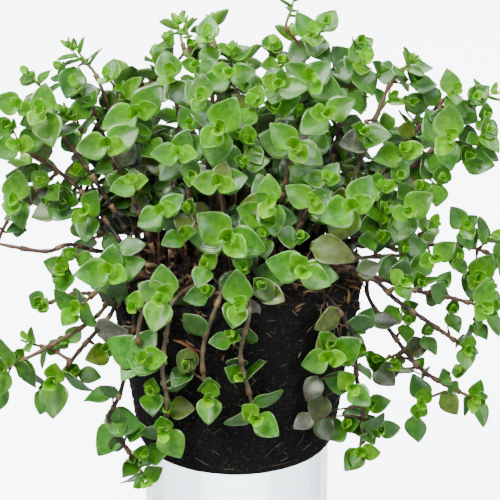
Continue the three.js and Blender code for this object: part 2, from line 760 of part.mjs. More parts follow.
function hole(root) {
  const sides = 4;
  const radius = (STEM_RADIUS + CLEARANCE) / Math.cos(Math.PI / sides);
  const geometry = new THREE.CylinderGeometry(radius, radius, 2 * HOLE_DEPTH, sides);
  return solid(geometry.rotateX(Math.PI / 2).translate(root.x, root.y, SOIL_TOP));
}

let ball = turned(ballProfile, 28);
for (const root of roots) {
  ball = ball.subtract(hole(root));
}

const glassMaterial = new THREE.MeshStandardMaterial({
  color: "#e8f1f2",
  roughness: 0.04,
  metalness: 0,
  transparent: true,
  opacity: 0.35,
});
const peat = new THREE.MeshStandardMaterial({ color: "#1d1815", roughness: 0.95, metalness: 0 });
const foliage = new THREE.MeshStandardMaterial({ color: "#4f8f2f", roughness: 0.5, metalness: 0 });

addNode("glass", turned(glassProfile, 28), glassMaterial);
addNode("root_ball", ball, peat);
VINES.forEach((shoots, vine) => {
  const pieces = [];
  for (const stem of stems.filter((one) => one.vine === vine)) {
    const skin = shootSkin(stem, stem.leaves.map(({ leaf }) => leaf));
    pieces.push(solid(new THREE.BufferGeometry().setFromPoints(skin.points).setIndex(skin.faces)));
  }
  const joined = pieces.reduce((whole, piece) => whole.add(piece));
  addNode(`vine_${String(vine + 1).padStart(2, "0")}`, joined, foliage);
});

export default group;
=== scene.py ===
import math
import random

import bpy
import numpy as np
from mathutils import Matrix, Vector, kdtree, noise


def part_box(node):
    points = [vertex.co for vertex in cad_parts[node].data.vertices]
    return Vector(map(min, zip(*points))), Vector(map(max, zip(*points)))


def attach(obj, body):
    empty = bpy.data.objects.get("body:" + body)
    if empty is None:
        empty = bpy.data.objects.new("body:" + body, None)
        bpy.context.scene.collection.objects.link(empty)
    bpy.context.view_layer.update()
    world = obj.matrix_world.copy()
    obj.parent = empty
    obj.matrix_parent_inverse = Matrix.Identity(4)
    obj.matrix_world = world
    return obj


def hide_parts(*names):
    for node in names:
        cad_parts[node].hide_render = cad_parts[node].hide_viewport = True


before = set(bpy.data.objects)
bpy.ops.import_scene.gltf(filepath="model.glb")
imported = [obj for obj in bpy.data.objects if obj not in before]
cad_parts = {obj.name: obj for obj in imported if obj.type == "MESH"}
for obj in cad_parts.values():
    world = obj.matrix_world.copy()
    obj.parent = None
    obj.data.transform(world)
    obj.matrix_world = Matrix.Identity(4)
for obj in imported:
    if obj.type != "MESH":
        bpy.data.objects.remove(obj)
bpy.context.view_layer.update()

# The view. The plant stands at eye level on a table and is looked at from in front and a little above, from
# 850 mm away. Sizes in this file are in millimetres until a piece is made, and a picture is 500 pixels wide.
MM = 0.001
SIGHT_ELEVATION = math.radians(22)
SIGHT_DISTANCE = 850
SIGHT_CENTRE = (6.3, 6.5)
PIXELS_A_MM = 2.23
PICTURE_WIDTH = 500
SENSOR_WIDTH = 36
SOIL_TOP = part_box("root_ball")[1][2] / MM
TOWARDS_EYE = np.array([0, -math.cos(SIGHT_ELEVATION), math.sin(SIGHT_ELEVATION)])
PICTURE_UP = np.array([0, math.sin(SIGHT_ELEVATION), math.cos(SIGHT_ELEVATION)])


def in_picture(across, up):
    return np.array([across, 0, SOIL_TOP]) + up * PICTURE_UP


EYE = in_picture(*SIGHT_CENTRE) + SIGHT_DISTANCE * TOWARDS_EYE
camera = bpy.data.objects.new("camera", bpy.data.cameras.new("camera"))
camera.data.sensor_width = SENSOR_WIDTH
camera.data.lens = SENSOR_WIDTH * PIXELS_A_MM * SIGHT_DISTANCE / PICTURE_WIDTH
camera.location = Vector(EYE * MM)
camera.rotation_euler = (math.pi / 2 - SIGHT_ELEVATION, 0, 0)
bpy.context.scene.collection.objects.link(camera)
bpy.context.scene.camera = camera

# The glass: a plain straight tumbler of clear soda-lime glass, pressed, with a thick foot and a fire-polished
# rim. It stands upright and the ball of peat rests on its mouth.
GLASS_WALL = 3
GLASS_BASE = 8
GLASS_SIDES = 96
FOOT_ROUND = 2
WELL_ROUND = 3
glass_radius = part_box("glass")[1][0] / MM
glass_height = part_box("glass")[1][2] / MM


def arc(centre, radius, start, end, steps):
    turns = np.radians(np.linspace(start, end, steps))
    return [(centre[0] + radius * math.cos(turn), centre[1] + radius * math.sin(turn)) for turn in turns]


def around(turn, radius, height):
    return np.array([radius * math.cos(turn), radius * math.sin(turn), height])


def turned(profile, sides):
    """A closed skin turned about the axis from a profile that starts and ends on it."""
    inner = profile[1:-1]
    rings = []
    for radius, height in inner:
        for turn in np.linspace(0, 2 * math.pi, sides, endpoint=False):
            rings.append(around(turn, radius, height))
    points = np.array(rings + [[0, 0, profile[0][1]], [0, 0, profile[-1][1]]])
    first, last = len(rings), len(rings) + 1
    faces = []
    for side in range(sides):
        after = (side + 1) % sides
        faces.append((first, after, side))
        top = (len(inner) - 1) * sides
        faces.append((last, top + side, top + after))
        for row in range(len(inner) - 1):
            low, high = row * sides, (row + 1) * sides
            faces.append((low + side, low + after, high + after, high + side))
    return points, faces


def new_piece(name, points, faces, materials):
    mesh = bpy.data.meshes.new(name)
    mesh.from_pydata((np.asarray(points) * MM).tolist(), [], faces)
    mesh.polygons.foreach_set("use_smooth", [True] * len(faces))
    for material in materials:
        mesh.materials.append(material)
    piece = bpy.data.objects.new(name, mesh)
    bpy.context.scene.collection.objects.link(piece)
    return piece


def linear(colour):
    """A hex sRGB colour as linear red, green, blue and 1."""
    shares = [int(colour[i:i + 2], 16) / 255 for i in (1, 3, 5)]
    return np.array([s / 12.92 if s <= 0.04045 else ((s + 0.055) / 1.055) ** 2.4 for s in shares] + [1])


def set_inputs(tree, node, inputs):
    """Sets each input to its value, or links it to its socket; a node stands for its first output."""
    for name, value in inputs.items():
        if isinstance(value, bpy.types.Node):
            value = value.outputs[0]
        if isinstance(value, bpy.types.NodeSocket):
            tree.links.new(value, node.inputs[name])
        else:
            node.inputs[name].default_value = value


def set_finish(material, inputs):
    set_inputs(material.node_tree, material.node_tree.nodes["Principled BSDF"], inputs)


def new_material(name, finish):
    material = bpy.data.materials.new(name)
    material.use_nodes = True
    set_finish(material, finish)
    return material


glass_profile = [
    (0, 0),
    *arc((glass_radius - FOOT_ROUND, FOOT_ROUND), FOOT_ROUND, -90, 0, 6),
    *arc((glass_radius - GLASS_WALL / 2, glass_height - GLASS_WALL / 2), GLASS_WALL / 2, 0, 180, 9),
    *arc((glass_radius - GLASS_WALL - WELL_ROUND, GLASS_BASE + WELL_ROUND), WELL_ROUND, 0, -90, 6),
    (0, GLASS_BASE),
]
# Clear glass: what the eye gets is its faint bright and grey edges, from its index of refraction, and sharp
# small highlights. In so bright a room nearly half of the light comes straight through.
soda_lime_glass = new_material(
    "soda_lime_glass",
    {
        "Base Color": linear("#cddadb"),
        "Roughness": 0.01,
        "IOR": 1.51,
        "Transmission Weight": 1.0,
        "Alpha": 0.55,
    },
)
glass = new_piece("clear_glass_tumbler", *turned(glass_profile, GLASS_SIDES), [soda_lime_glass])
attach(glass, "root")
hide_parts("glass")

# The root ball: dark peat that still has the shape of the tapered nursery pot it was lifted out of, held
# together by fine grey roots that have grown round its outside, with crumbs and dead bits lying on its top.
BALL_FOOT_RADIUS = 44.5
BALL_EDGE_ROUND = 3
BALL_ROUND = 2
SAG = 1.2  # mm that the peat sags outside the rim of the glass
SAG_CLEAR = 0.8  # mm between the rim and the peat that sags
FOOT_INSET = 1.6
SIDE_SLOPE = -8  # degrees, as the ball narrows towards its foot
BALL_STEP = 1.5
BALL_SIDES = 220
LUMP, SMALL_LUMP = 7, 2.2  # mm across
LUMP_HEIGHT = 0.9
SMALL_LUMPS = 0.6  # of the height of the large ones
LUMP_RISE = 0.2  # mm that the lumps stand out on the whole
ball_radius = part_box("root_ball")[1][0] / MM
ball_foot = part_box("root_ball")[0][2] / MM


def spaced(profile, step):
    """The same profile with its points at even steps."""
    corners = np.array(profile, float)
    runs = np.linalg.norm(np.diff(corners, axis=0), axis=1)
    places = np.concatenate([[0], np.cumsum(runs)])
    wanted = np.linspace(0, places[-1], max(2, round(places[-1] / step)) + 1)
    return list(zip(*[np.interp(wanted, places, corners[:, axis]) for axis in (0, 1)]))


ball_profile = [
    (0, ball_foot),
    (glass_radius + SAG_CLEAR, ball_foot),
    *arc((BALL_FOOT_RADIUS - FOOT_INSET, ball_foot - SAG + BALL_ROUND), BALL_ROUND, -90, SIDE_SLOPE, 4),
    *arc((ball_radius - BALL_EDGE_ROUND, SOIL_TOP - BALL_EDGE_ROUND), BALL_EDGE_ROUND, SIDE_SLOPE, 90, 5),
    (0, SOIL_TOP),
]
ball_points, ball_faces = turned(spaced(ball_profile, BALL_STEP), BALL_SIDES)


def add_node(tree, kind, inputs, **settings):
    node = tree.nodes.new("ShaderNode" + kind)
    for name, value in settings.items():
        setattr(node, name, value)
    set_inputs(tree, node, inputs)
    return node


def roughened(point):
    """A point of the ball's skin, moved in or out by up to a millimetre as crumbly peat is."""
    x, y, z = point
    lumps = noise.noise(Vector(point) / LUMP) + SMALL_LUMPS * noise.noise(Vector(point) / SMALL_LUMP)
    depth = LUMP_HEIGHT * lumps + LUMP_RISE
    outward = Vector((x, y, 0)).normalized() if z < SOIL_TOP - BALL_EDGE_ROUND else Vector((0, 0, 1))
    flat_foot = min(1, max(0, (z - ball_foot + SAG) / BALL_EDGE_ROUND))
    return np.array(point) + np.array(outward) * depth * flat_foot


ball_points = np.array([roughened(point) for point in ball_points])
# Peat: near-black brown and quite dull, with lighter fibres and flecks.
peat = new_material("peat", {"Roughness": 0.95, "Specular IOR Level": 0.2})
tree = peat.node_tree
where = add_node(tree, "TexCoord", {})
FLECK = 1.6  # mm between flecks
CRUMB = 0.9  # mm between crumbs
flecks = add_node(
    tree, "TexNoise",
    {"Vector": where.outputs["Object"], "Scale": 1 / (FLECK * MM), "Detail": 6.0, "Roughness": 0.7},
)
bright = add_node(tree, "MapRange", {"Value": flecks, "From Min": 0.54, "From Max": 0.8})
peat_colour = add_node(
    tree, "MixRGB", {"Fac": bright, "Color1": linear("#0d0c0b"), "Color2": linear("#4a453b")}
)
crumbs_bump = add_node(
    tree, "TexNoise", {"Vector": where.outputs["Object"], "Scale": 1 / (CRUMB * MM), "Detail": 4.0}
)
bump = add_node(tree, "Bump", {"Height": crumbs_bump, "Strength": 1.0, "Distance": 0.7 * MM})
set_finish(peat, {"Base Color": peat_colour, "Normal": bump})
root_ball = new_piece("peat_root_ball", ball_points, ball_faces, [peat])
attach(root_ball, "root")
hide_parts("root_ball")

# Fine roots lie in the peat's surface, mostly aslant, and grey with age; they dip under its crumbs in places.


def ball_radius_at(height):
    share = np.clip((height - ball_foot) / (SOIL_TOP - ball_foot), 0, 1)
    return BALL_FOOT_RADIUS + (ball_radius - BALL_FOOT_RADIUS) * share


class Skin:
    """Points and faces that are put together before they are made into one piece."""

    def __init__(self):
        self.points, self.faces, self.tints, self.places, self.kinds = [], [], [], [], []
        self.count = 0

    def add(self, points, faces, tint, places=None, kind=0):
        start = self.count
        self.points.append(points)
        self.faces.extend(tuple(start + corner for corner in face) for face in faces)
        self.tints.append(np.broadcast_to(tint, (len(points), 4)))
        self.places.append(np.zeros((len(points), 3)) if places is None else places)
        self.kinds.extend([kind] * len(faces))
        self.count += len(points)

    def made(self, name, materials):
        piece = new_piece(name, np.concatenate(self.points), self.faces, materials)
        mesh = piece.data
        mesh.polygons.foreach_set("material_index", self.kinds)
        tint = mesh.attributes.new("tint", "FLOAT_COLOR", "POINT")
        tint.data.foreach_set("color", np.concatenate(self.tints).ravel())
        place = mesh.attributes.new("place", "FLOAT_VECTOR", "POINT")
        place.data.foreach_set("vector", np.concatenate(self.places).ravel())
        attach(piece, "root")
        return piece


def unit(vector):
    return vector / np.linalg.norm(vector)


def flat_to(vector, normal):
    return unit(vector - normal * np.dot(vector, normal))


ANY_WAY = np.array([0.31, 0.22, 0.93])  # along no stem or root


def tube(points, radii, sides):
    """A closed round bar along some points."""
    points = np.asarray(points)
    ways = np.gradient(points, axis=0)
    facing = flat_to(ANY_WAY, unit(ways[0]))
    rings = []
    for point, way, radius in zip(points, ways, radii):
        way = unit(way)
        facing = flat_to(facing, way)
        turns = np.linspace(0, 2 * math.pi, sides, endpoint=False)[:, None]
        rings.append(point + radius * (np.cos(turns) * facing + np.sin(turns) * np.cross(way, facing)))
    faces = [tuple(range(sides))[::-1], tuple(range((len(points) - 1) * sides, len(points) * sides))]
    for row in range(len(points) - 1):
        for side in range(sides):
            after = (side + 1) % sides
            low, high = row * sides, (row + 1) * sides
            faces.append((low + side, low + after, high + after, high + side))
    return np.concatenate(rings), faces


chance = random.Random(11)
FINE_ROOTS = 230
ROOT_STEP = 1.7  # mm
ROOT_LIFT = 0.16  # mm that a root lies outside the peat's surface on the whole
ROOT_DIVE = 0.3  # mm that it winds out of that surface and into it again
ROOT_RADII = (0.08, 0.18)
ROOT_GREYS = ["#625c4e", "#746d5c", "#48433a", "#655b46"]
roots_skin = Skin()
for _ in range(FINE_ROOTS):
    turn = chance.uniform(0, 2 * math.pi)
    height = chance.uniform(ball_foot + 4, SOIL_TOP - 4)
    slope = chance.uniform(-0.9, 0.9)
    drift = chance.choice([-1, 1]) * chance.uniform(0.5, 1.0)
    steps = chance.randint(8, 22)
    path = []
    for step in range(steps):
        radius = ball_radius_at(height) + ROOT_LIFT + ROOT_DIVE * math.sin(0.8 * step + turn)
        path.append(roughened(around(turn, radius, height)))
        slope += chance.uniform(-0.28, 0.28)
        turn += ROOT_STEP * drift / radius
        height = min(max(height + ROOT_STEP * slope, ball_foot + 3), SOIL_TOP - 3)
    thickness = chance.uniform(*ROOT_RADII)
    grey = linear(chance.choice(ROOT_GREYS))
    roots_skin.add(*tube(path, np.linspace(thickness, 0.5 * thickness, steps), 5), grey)

# Crumbs of peat stand out of the ball's side and lie on its top, among dead bits of leaf and stem that have
# dropped from the plant and dried to tan and brown flakes.
CORNERS = np.array([[1, 0, 0], [-1, 0, 0], [0, 1, 0], [0, -1, 0], [0, 0, 1], [0, 0, -1]], float)
SIDES_OF_CRUMB = [(0, 2, 4), (2, 1, 4), (1, 3, 4), (3, 0, 4), (2, 0, 5), (1, 2, 5), (3, 1, 5), (0, 3, 5)]
SIDE_CRUMBS = 260
TOP_CRUMBS = 520
CRUMB_SUNK = 0.6  # mm that a crumb's middle lies in the peat
CRUMB_BROWNS = ["#17120f", "#221a14", "#2e231a", "#1b1512"]


def crumb(centre, size):
    stretch = np.array([[chance.uniform(0.6, 1.25)] for _ in CORNERS])
    shear = np.array([[chance.uniform(-0.4, 0.4) for _ in range(3)] for _ in CORNERS])
    return centre + size * (CORNERS * stretch + shear * 0.6)


for number in range(SIDE_CRUMBS + TOP_CRUMBS):
    turn = chance.uniform(0, 2 * math.pi)
    if number < SIDE_CRUMBS:
        height = chance.uniform(ball_foot + 2, SOIL_TOP - 1)
        radius, size = ball_radius_at(height) - CRUMB_SUNK, chance.uniform(0.4, 1.0)
    else:
        size = chance.uniform(0.7, 2.2)
        height, radius = SOIL_TOP - CRUMB_SUNK, (ball_radius - 2) * math.sqrt(chance.random())
    centre = around(turn, radius, height)
    brown = linear(chance.choice(CRUMB_BROWNS))
    roots_skin.add(crumb(centre, size), SIDES_OF_CRUMB, brown)


UP = np.array([0, 0, 1.0])
FLAKE_HALF = 0.12  # mm, half its thickness


def flake(centre, way, width, length, bend):
    """A dead bit of leaf or stem: a thin curved strip, closed."""
    across = flat_to(np.cross(way, UP) + 1e-3, way)
    normal = np.cross(across, way)
    rows = []
    for share in np.linspace(-0.5, 0.5, 5):
        spread = width * (1 - (2 * share) ** 2 * 0.8) / 2
        middle = centre + way * length * share - normal * bend * length * share * share * 2
        for side, lift in ((-1, 1), (1, 1), (1, -1), (-1, -1)):
            rows.append(middle + across * side * spread + normal * lift * FLAKE_HALF)
    faces = [(0, 1, 2, 3), (19, 18, 17, 16)]
    for row in range(4):
        for side in range(4):
            after = (side + 1) % 4
            faces.append((4 * row + side, 4 * row + 4 + side, 4 * row + 4 + after, 4 * row + after))
    return np.array(rows), faces


def add_flake(centre, way, lengths, colours, widths, bends):
    """A flake with its length, colour, width as a share of its length, and bend drawn from these."""
    length = chance.uniform(*lengths)
    colour = linear(chance.choice(colours))
    width = length * chance.uniform(*widths)
    roots_skin.add(*flake(centre, way, width, length, chance.uniform(*bends)), colour)


FLAKES = 240
FLAKES_DEEP = 3.2  # mm that they lie deep on the soil
FLAKE_TANS = ["#54402c", "#6b543a", "#3a2b20", "#7c6648", "#463124"]
for _ in range(FLAKES):
    turn = chance.uniform(0, 2 * math.pi)
    radius = ball_radius * math.sqrt(chance.uniform(0.1, 1.0))
    centre = around(turn, radius, SOIL_TOP + chance.uniform(0, FLAKES_DEEP))
    way = unit(np.array([chance.uniform(-1, 1), chance.uniform(-1, 1), chance.uniform(-0.35, 0.35)]))
    add_flake(centre, way, (3, 9), FLAKE_TANS, (0.14, 0.4), (-0.5, 0.5))

# Some of it hangs down over the ball's upper edge.
LEVEL = np.array([1, 1, 0])
HANGING_BITS = 110
HANGING_DEPTH = 24
HANGING_TANS = ["#5c4630", "#7a5a34", "#46342a", "#6e5a50", "#8a6a3c"]
for _ in range(HANGING_BITS):
    turn = chance.uniform(0, 2 * math.pi)
    height = SOIL_TOP - HANGING_DEPTH * chance.random() ** 1.6
    radius = ball_radius_at(height) + 0.5
    centre = around(turn, radius, height)
    beside = around(turn + math.pi / 2, 1, 0)
    way = unit(beside * chance.uniform(-1, 1) + UP * chance.uniform(-1, 1) + centre * LEVEL * 0.003)
    add_flake(centre, way, (2.5, 8), HANGING_TANS, (0.1, 0.4), (-0.6, 0.2))

# Clumps of it lie where stems bend over the edge, with a few thicker pale roots that have grown out there.
# One row for each is [across, up, radius, bits, roots], as it is seen from in front.
CLUMPS = [
    [53, -4, 6, 22, 2],
    [47, -20, 7, 20, 5],
    [40, -14, 5, 10, 2],
    [50, -30, 5, 8, 3],
    [-38, -9, 7, 18, 2],
    [-19, -10, 5, 10, 1],
    [6, -12, 6, 10, 1],
]
RIGHT = np.array([1.0, 0, 0])
FRONT_SIDE = -2  # mm from the ball's axis, which the clumps keep in front of
CLUMP_TANS = ["#6a4d30", "#94683a", "#4a382c", "#86685c", "#a87a3c", "#5a4438"]
PALE_ROOTS = ["#8c7b68", "#a08c7c", "#75695a"]


def seen(across, up, back):
    towards = in_picture(across, up) - EYE
    return EYE + towards * (back - EYE[1]) / towards[1]


def on_ball(across, up):
    """Where the ball is seen at this place of the view."""
    back = -ball_radius - 6
    point = seen(across, up, back)
    while back < 0 and (point[2] > SOIL_TOP or math.hypot(point[0], point[1]) > ball_radius_at(point[2])):
        back += 0.5
        point = seen(across, up, back)
    return point


for across, up, spread, bits, roots in CLUMPS:
    for number in range(bits + roots):
        centre = on_ball(across + chance.uniform(-1, 1) * spread, up + chance.uniform(-1, 1) * spread)
        if centre[1] > FRONT_SIDE:
            continue
        outward = unit(centre * LEVEL)
        if number < bits:
            way = unit(RIGHT * chance.uniform(-1, 1) + UP * chance.uniform(-1, 0.6) + outward * 0.2)
            size = chance.uniform(2.5, 9)
            tan = linear(chance.choice(CLUMP_TANS))
            centre = centre + outward * chance.uniform(0.3, 1.6)
            width = size * chance.uniform(0.1, 0.35)
            roots_skin.add(*flake(centre, way, width, size, chance.uniform(-0.7, 0.3)), tan)
        else:
            path = [centre + outward * 0.4]
            drift = chance.uniform(-0.5, 0.5)
            for step in range(chance.randint(6, 12)):
                drift += chance.uniform(-0.25, 0.25)
                path.append(path[-1] + np.array([drift, 0, -1]))
            pale = linear(chance.choice(PALE_ROOTS))
            roots_skin.add(*tube(path, np.linspace(0.32, 0.14, len(path)), 5), pale)

# Dead roots, leaves and peat crumbs, all dry and dull: their colour is all that tells them apart.
dry_litter = new_material("dry_litter", {"Roughness": 0.85, "Specular IOR Level": 0.25})
litter_tint = add_node(dry_litter.node_tree, "Attribute", {}, attribute_name="tint")
set_finish(dry_litter, {"Base Color": litter_tint})
roots_skin.made("fine_roots_and_litter", [dry_litter])

# The vines: trailing stems that root in the peat and stand or hang round the ball, each ending in a rosette
# of leaves that clasp the stem in two ranks. One group for each vine gives its shoots, the main one first:
# [across, up and back of the tip as it is seen from in front, leaf length, spin, face, leaves, points on the
# way]. Spin is in degrees, and face is the share by which a rosette looks towards the eye.
FRONT_VINES = [
    # Long stems that reach out to the left and the right, or hang down
    [
        [-119, 12, 6, 11, 120, 0.5, 3, [[-62, 6, 4], [-75, 9, 2], [-84, 6, 0], [-100, 8, 2]]],
        [-100, 29, 0, 14, 90, 0.9, 4],
        [-78, -3, -12, 12, 290, 0.8, 3],
    ],
    [[-82, -53, -32, 16, 270, 0.9, 5, [[-56, -22, -40], [-68, -36, -38]]], [-94, -34, -20, 11, 130, 0.5, 3]],
    [[-106, -47, -28, 14, 250, 0.7, 4, [[-58, -20, -24], [-80, -36, -26]]]],
    [[120, 3, 10, 13, 90, 0.6, 3, [[60, 12, 0], [85, 9, 4], [104, 8, 6]]], [103, 17, 0, 11, 120, 0.9, 3]],
    [[112, -18, -18, 14, 100, 0.8, 4, [[62, -6, -30], [80, -12, -30], [95, -15, -26]]]],
    [
        [104, -38, -20, 11, 270, 0.8, 4, [[60, -6, -38], [72, -16, -36], [88, -27, -30]]],
        [75, -8, -40, 12, 330, 0.7, 3],
    ],
    [
        [107, -60, -12, 10, 90, 0.9, 4, [[59, -14, -22], [72, -34, -24], [84, -48, -20]]],
        [83, -62, -16, 13, 270, 0.8, 4],
        [68, -44, -22, 11, 150, 0.5, 3],
    ],
    # Down the front of the ball
    [[-42, -42, -56, 16, 200, 1, 4, [[-40, -18, -52], [-44, -32, -54]]]],
    [[-12, -60, -60, 13, 270, 0.9, 5, [[-8, -17, -58], [-14, -34, -58], [-15, -46, -58]]]],
    [[9, -69, -59, 14, 330, 1, 5, [[6, -22, -62], [2, -40, -60], [5, -54, -58]]]],
    [[-32, -75, -54, 14, 290, 0.9, 4, [[-30, -24, -56], [-33, -46, -56], [-31, -60, -55]]]],
    [[-41, -97, -38, 10, 30, 0.8, 6, [[-46, -30, -46], [-52, -58, -46], [-57, -70, -44], [-48, -84, -42]]]],
    [
        [56, -84, -40, 14, 200, 0.9, 7, [[44, -18, -50], [53, -33, -48], [54, -50, -46], [57, -66, -44]]],
        [41, -42, -54, 14, 200, 0.9, 4],
        [52, -56, -52, 13, 330, 0.9, 4],
    ],
    # In front of the dome
    [[26, 53, -28, 15, 135, 1, 5]],
    [[-8, 61, -25, 16, 65, 1, 5]],
    [[-58, 54, -15, 14, 175, 1, 4], [-46, 37, -18, 12, 200, 0.7, 3]],
    [[-45, 68, 0, 16, 205, 1, 5], [-52, 78, 20, 12, 50, 0.5, 3]],
    [[52, 26, -35, 16, 210, 1, 5]],
    [[-4, 12, -52, 17, 150, 1, 5]],
    [[30, -3, -60, 15, 325, 1, 5]],
    [[1, -18, -66, 15, 95, 1, 4]],
    [[15, 28, -42, 13, 90, 0.9, 5]],
    [[-8, 37, -32, 13, 180, 0.9, 4]],
    [[-26, 50, -25, 13, 180, 0.9, 4]],
    [[-34, 24, -42, 12, 210, 0.9, 4]],
    [[34, 28, -32, 13, 150, 0.8, 4], [41, 39, -25, 10, 180, 0.8, 3]],
    [[-57, -3, -46, 15, 180, 0.9, 5]],
    # The crown
    [[41, 68, -10, 15, 20, 0.9, 5]],
    [[33, 83, 0, 14, 140, 0.9, 4], [19, 81, -6, 13, 0, 0.8, 4]],
    [[-16, 75, -10, 13, 90, 0.8, 5], [-3, 86, 0, 13, 0, 0.8, 4]],
    [[-13, 103, 15, 13, 90, 0.6, 4], [-2, 98, 22, 11, 30, 0.5, 3], [-23, 109, 27, 8, 160, 0, 3]],
    [[-30, 85, 10, 14, 100, 0.7, 4]],
    [[34, 104, 15, 14, 115, 0.7, 4], [26.5, 121, 28, 9, 180, 0, 4], [16, 99, 22, 9, 90, 0.5, 3]],
    [[57, 91, 10, 15, 90, 0.7, 5]],
    [[7, 72, -4, 13, 250, 0.6, 3], [6, 55, -14, 12, 300, 0.6, 3]],
    # The left side
    [[-88, 69, -10, 14, 90, 0.8, 4], [-98, 71, -4, 13, 170, 0.9, 3], [-94, 85, 10, 9, 150, 0.3, 3]],
    [[-72, 97, 25, 10, 185, 0, 4], [-58, 85, 15, 11, 90, 0.6, 3]],
    [[-72, 80, 10, 11, 130, 0.5, 4], [-77, 69, 5, 10, 180, 0.3, 3]],
    [[-98, 52, -5, 13, 200, 0.9, 4], [-86, 36, 4, 12, 330, 0.5, 3], [-108, 17, 8, 12, 180, 0.6, 3]],
    [[-67, 24, -6, 13, 60, 0.8, 4], [-70, 41, 6, 13, 250, 0.6, 3]],
    [[-73, -19, -30, 14, 90, 0.9, 4], [-88, -18, -10, 9, 160, 0.8, 3]],
    [[-34, -16, -60, 14, 250, 0.9, 4], [-46, -19, -55, 12, 270, 0.8, 3]],
    # The right side
    [[95, 57, -10, 15, 80, 0.9, 5], [76, 51, 0, 14, 200, 0.7, 3]],
    [[79, 92, 5, 10, 0, 0.2, 4], [70, 75, 10, 11, 170, 0.4, 3]],
    [[98, 78, 2, 12, 100, 0.7, 4], [115, 77, 12, 11, 130, 0.2, 3], [113, 60, -4, 11, 300, 0.5, 3]],
    [[77, 24, -20, 14, 30, 0.9, 4], [66, 35, -8, 11, 190, 0.7, 4]],
    [[89, 3, -22, 13, 30, 1, 4], [88, 18, -2, 11, 110, 0.5, 3]],
]
vines = [[[seen(*row[:3]), *row[3:]] for row in rows] for rows in FRONT_VINES]

# The same draws as the solids have, so that each finer leaf lies where its plain one does.
DRAW_FACTOR = 1664525
DRAW_STEP = 1013904223
DRAWS = 2**32
state = 20


def draw():
    global state
    state = (state * DRAW_FACTOR + DRAW_STEP) % DRAWS
    return state / DRAWS


def either(spread):
    return (2 * draw() - 1) * spread


# Round the back: three shoots to a vine at even turns, low, middling and high by turns.
BACK_VINES = 11
BACK_REACHES = [92, 97, 74]
BACK_HEIGHTS = [2, 36, 66]
for number in range(BACK_VINES):
    turn = math.radians(20 + 140 * number / (BACK_VINES - 1))
    beside = turn + (0.22 if number < BACK_VINES / 2 else -0.22)
    reach = BACK_REACHES[number % 3] + either(5)
    rise = BACK_HEIGHTS[number % 3] + either(6)
    height = SOIL_TOP + rise
    vines.append([
        [around(turn, reach, height), 15, 360 * draw(), -0.6, 4],
        [around(beside, 0.68 * reach, height + 28), 14, 360 * draw(), -0.4, 3],
        [around(turn - 0.12, 0.8 * reach, height + 12), 12, 360 * draw(), -0.7, 3],
    ])

# A vine's plain form is grown by rule from its row. Each stem curves smoothly from its foot or its parent to
# the tip, and bears its leaves at set places down from there. Where one met a neighbour it was tried again,
# a little further aside, and the corners of the solid tell which try it was.
BALL_EDGE = ball_radius + 4
STEM_STEP = 16  # mm between the sections of a solid's stem
UPRIGHT = 5  # mm that a stem stands upright above the soil
HOLE_DEPTH = 9
CLEARANCE = 0.3
STEM_RADIUS = 1.2
BRANCH_RADIUS = 1.05
LEAF_THICKNESS = 0.8
# The leaves of a stem from its tip down: their sizes, mm from the tip, degrees of opening, cups and bends.
LEAF_SIZES = [0.45, 0.7, 0.95, 1, 1, 0.95, 0.9]
LEAF_PLACES = [LEAF_THICKNESS / 2, 2.8, 5.8, 9.7, 15, 22, 30]
LEAF_OPENINGS = [16, 42, 64, 76, 86, 96, 102]
LEAF_CUPS = [0.62, 0.5, 0.34, 0.26, 0.2, 0.15, 0.12]
LEAF_BENDS = [-0.12, -0.08, 0, 0.06, 0.1, 0.14, 0.16]
RANK_TWIST = 16  # degrees from one pair of leaves to the next
MOST_LEAN = math.radians(70)
MOST_TRIES = 60
TIP_APPROACH, LEAST_APPROACH, MOST_APPROACH = 6, 5, 15  # mm of straight stem under a shoot
GOLDEN_TURN = 2.4
END_SPACING, BOW_SPACING, WAY_SPACING = 0.4, 1.6, 0.9  # mm between the tries of a stem
FEET_WITHIN = 50  # mm from the ball's axis
SAME_HEIGHT = 0.004
MATCH = 0.03  # mm between a place and the solid's corner that it is known by
# Degrees of turn and opening, and a scale, that a leaf of a solid was tried at in turn until it found room.
LEAF_TRIES = [
    (0, 0, 1),
    (14, 0, 1),
    (-14, 0, 1),
    (0, -16, 1),
    (26, -6, 0.95),
    (-26, -6, 0.95),
    (10, 14, 0.95),
    (-10, 14, 0.95),
    (38, -12, 0.85),
    (-38, -12, 0.85),
    (0, -30, 0.85),
    (60, -20, 0.75),
    (-60, -20, 0.75),
]


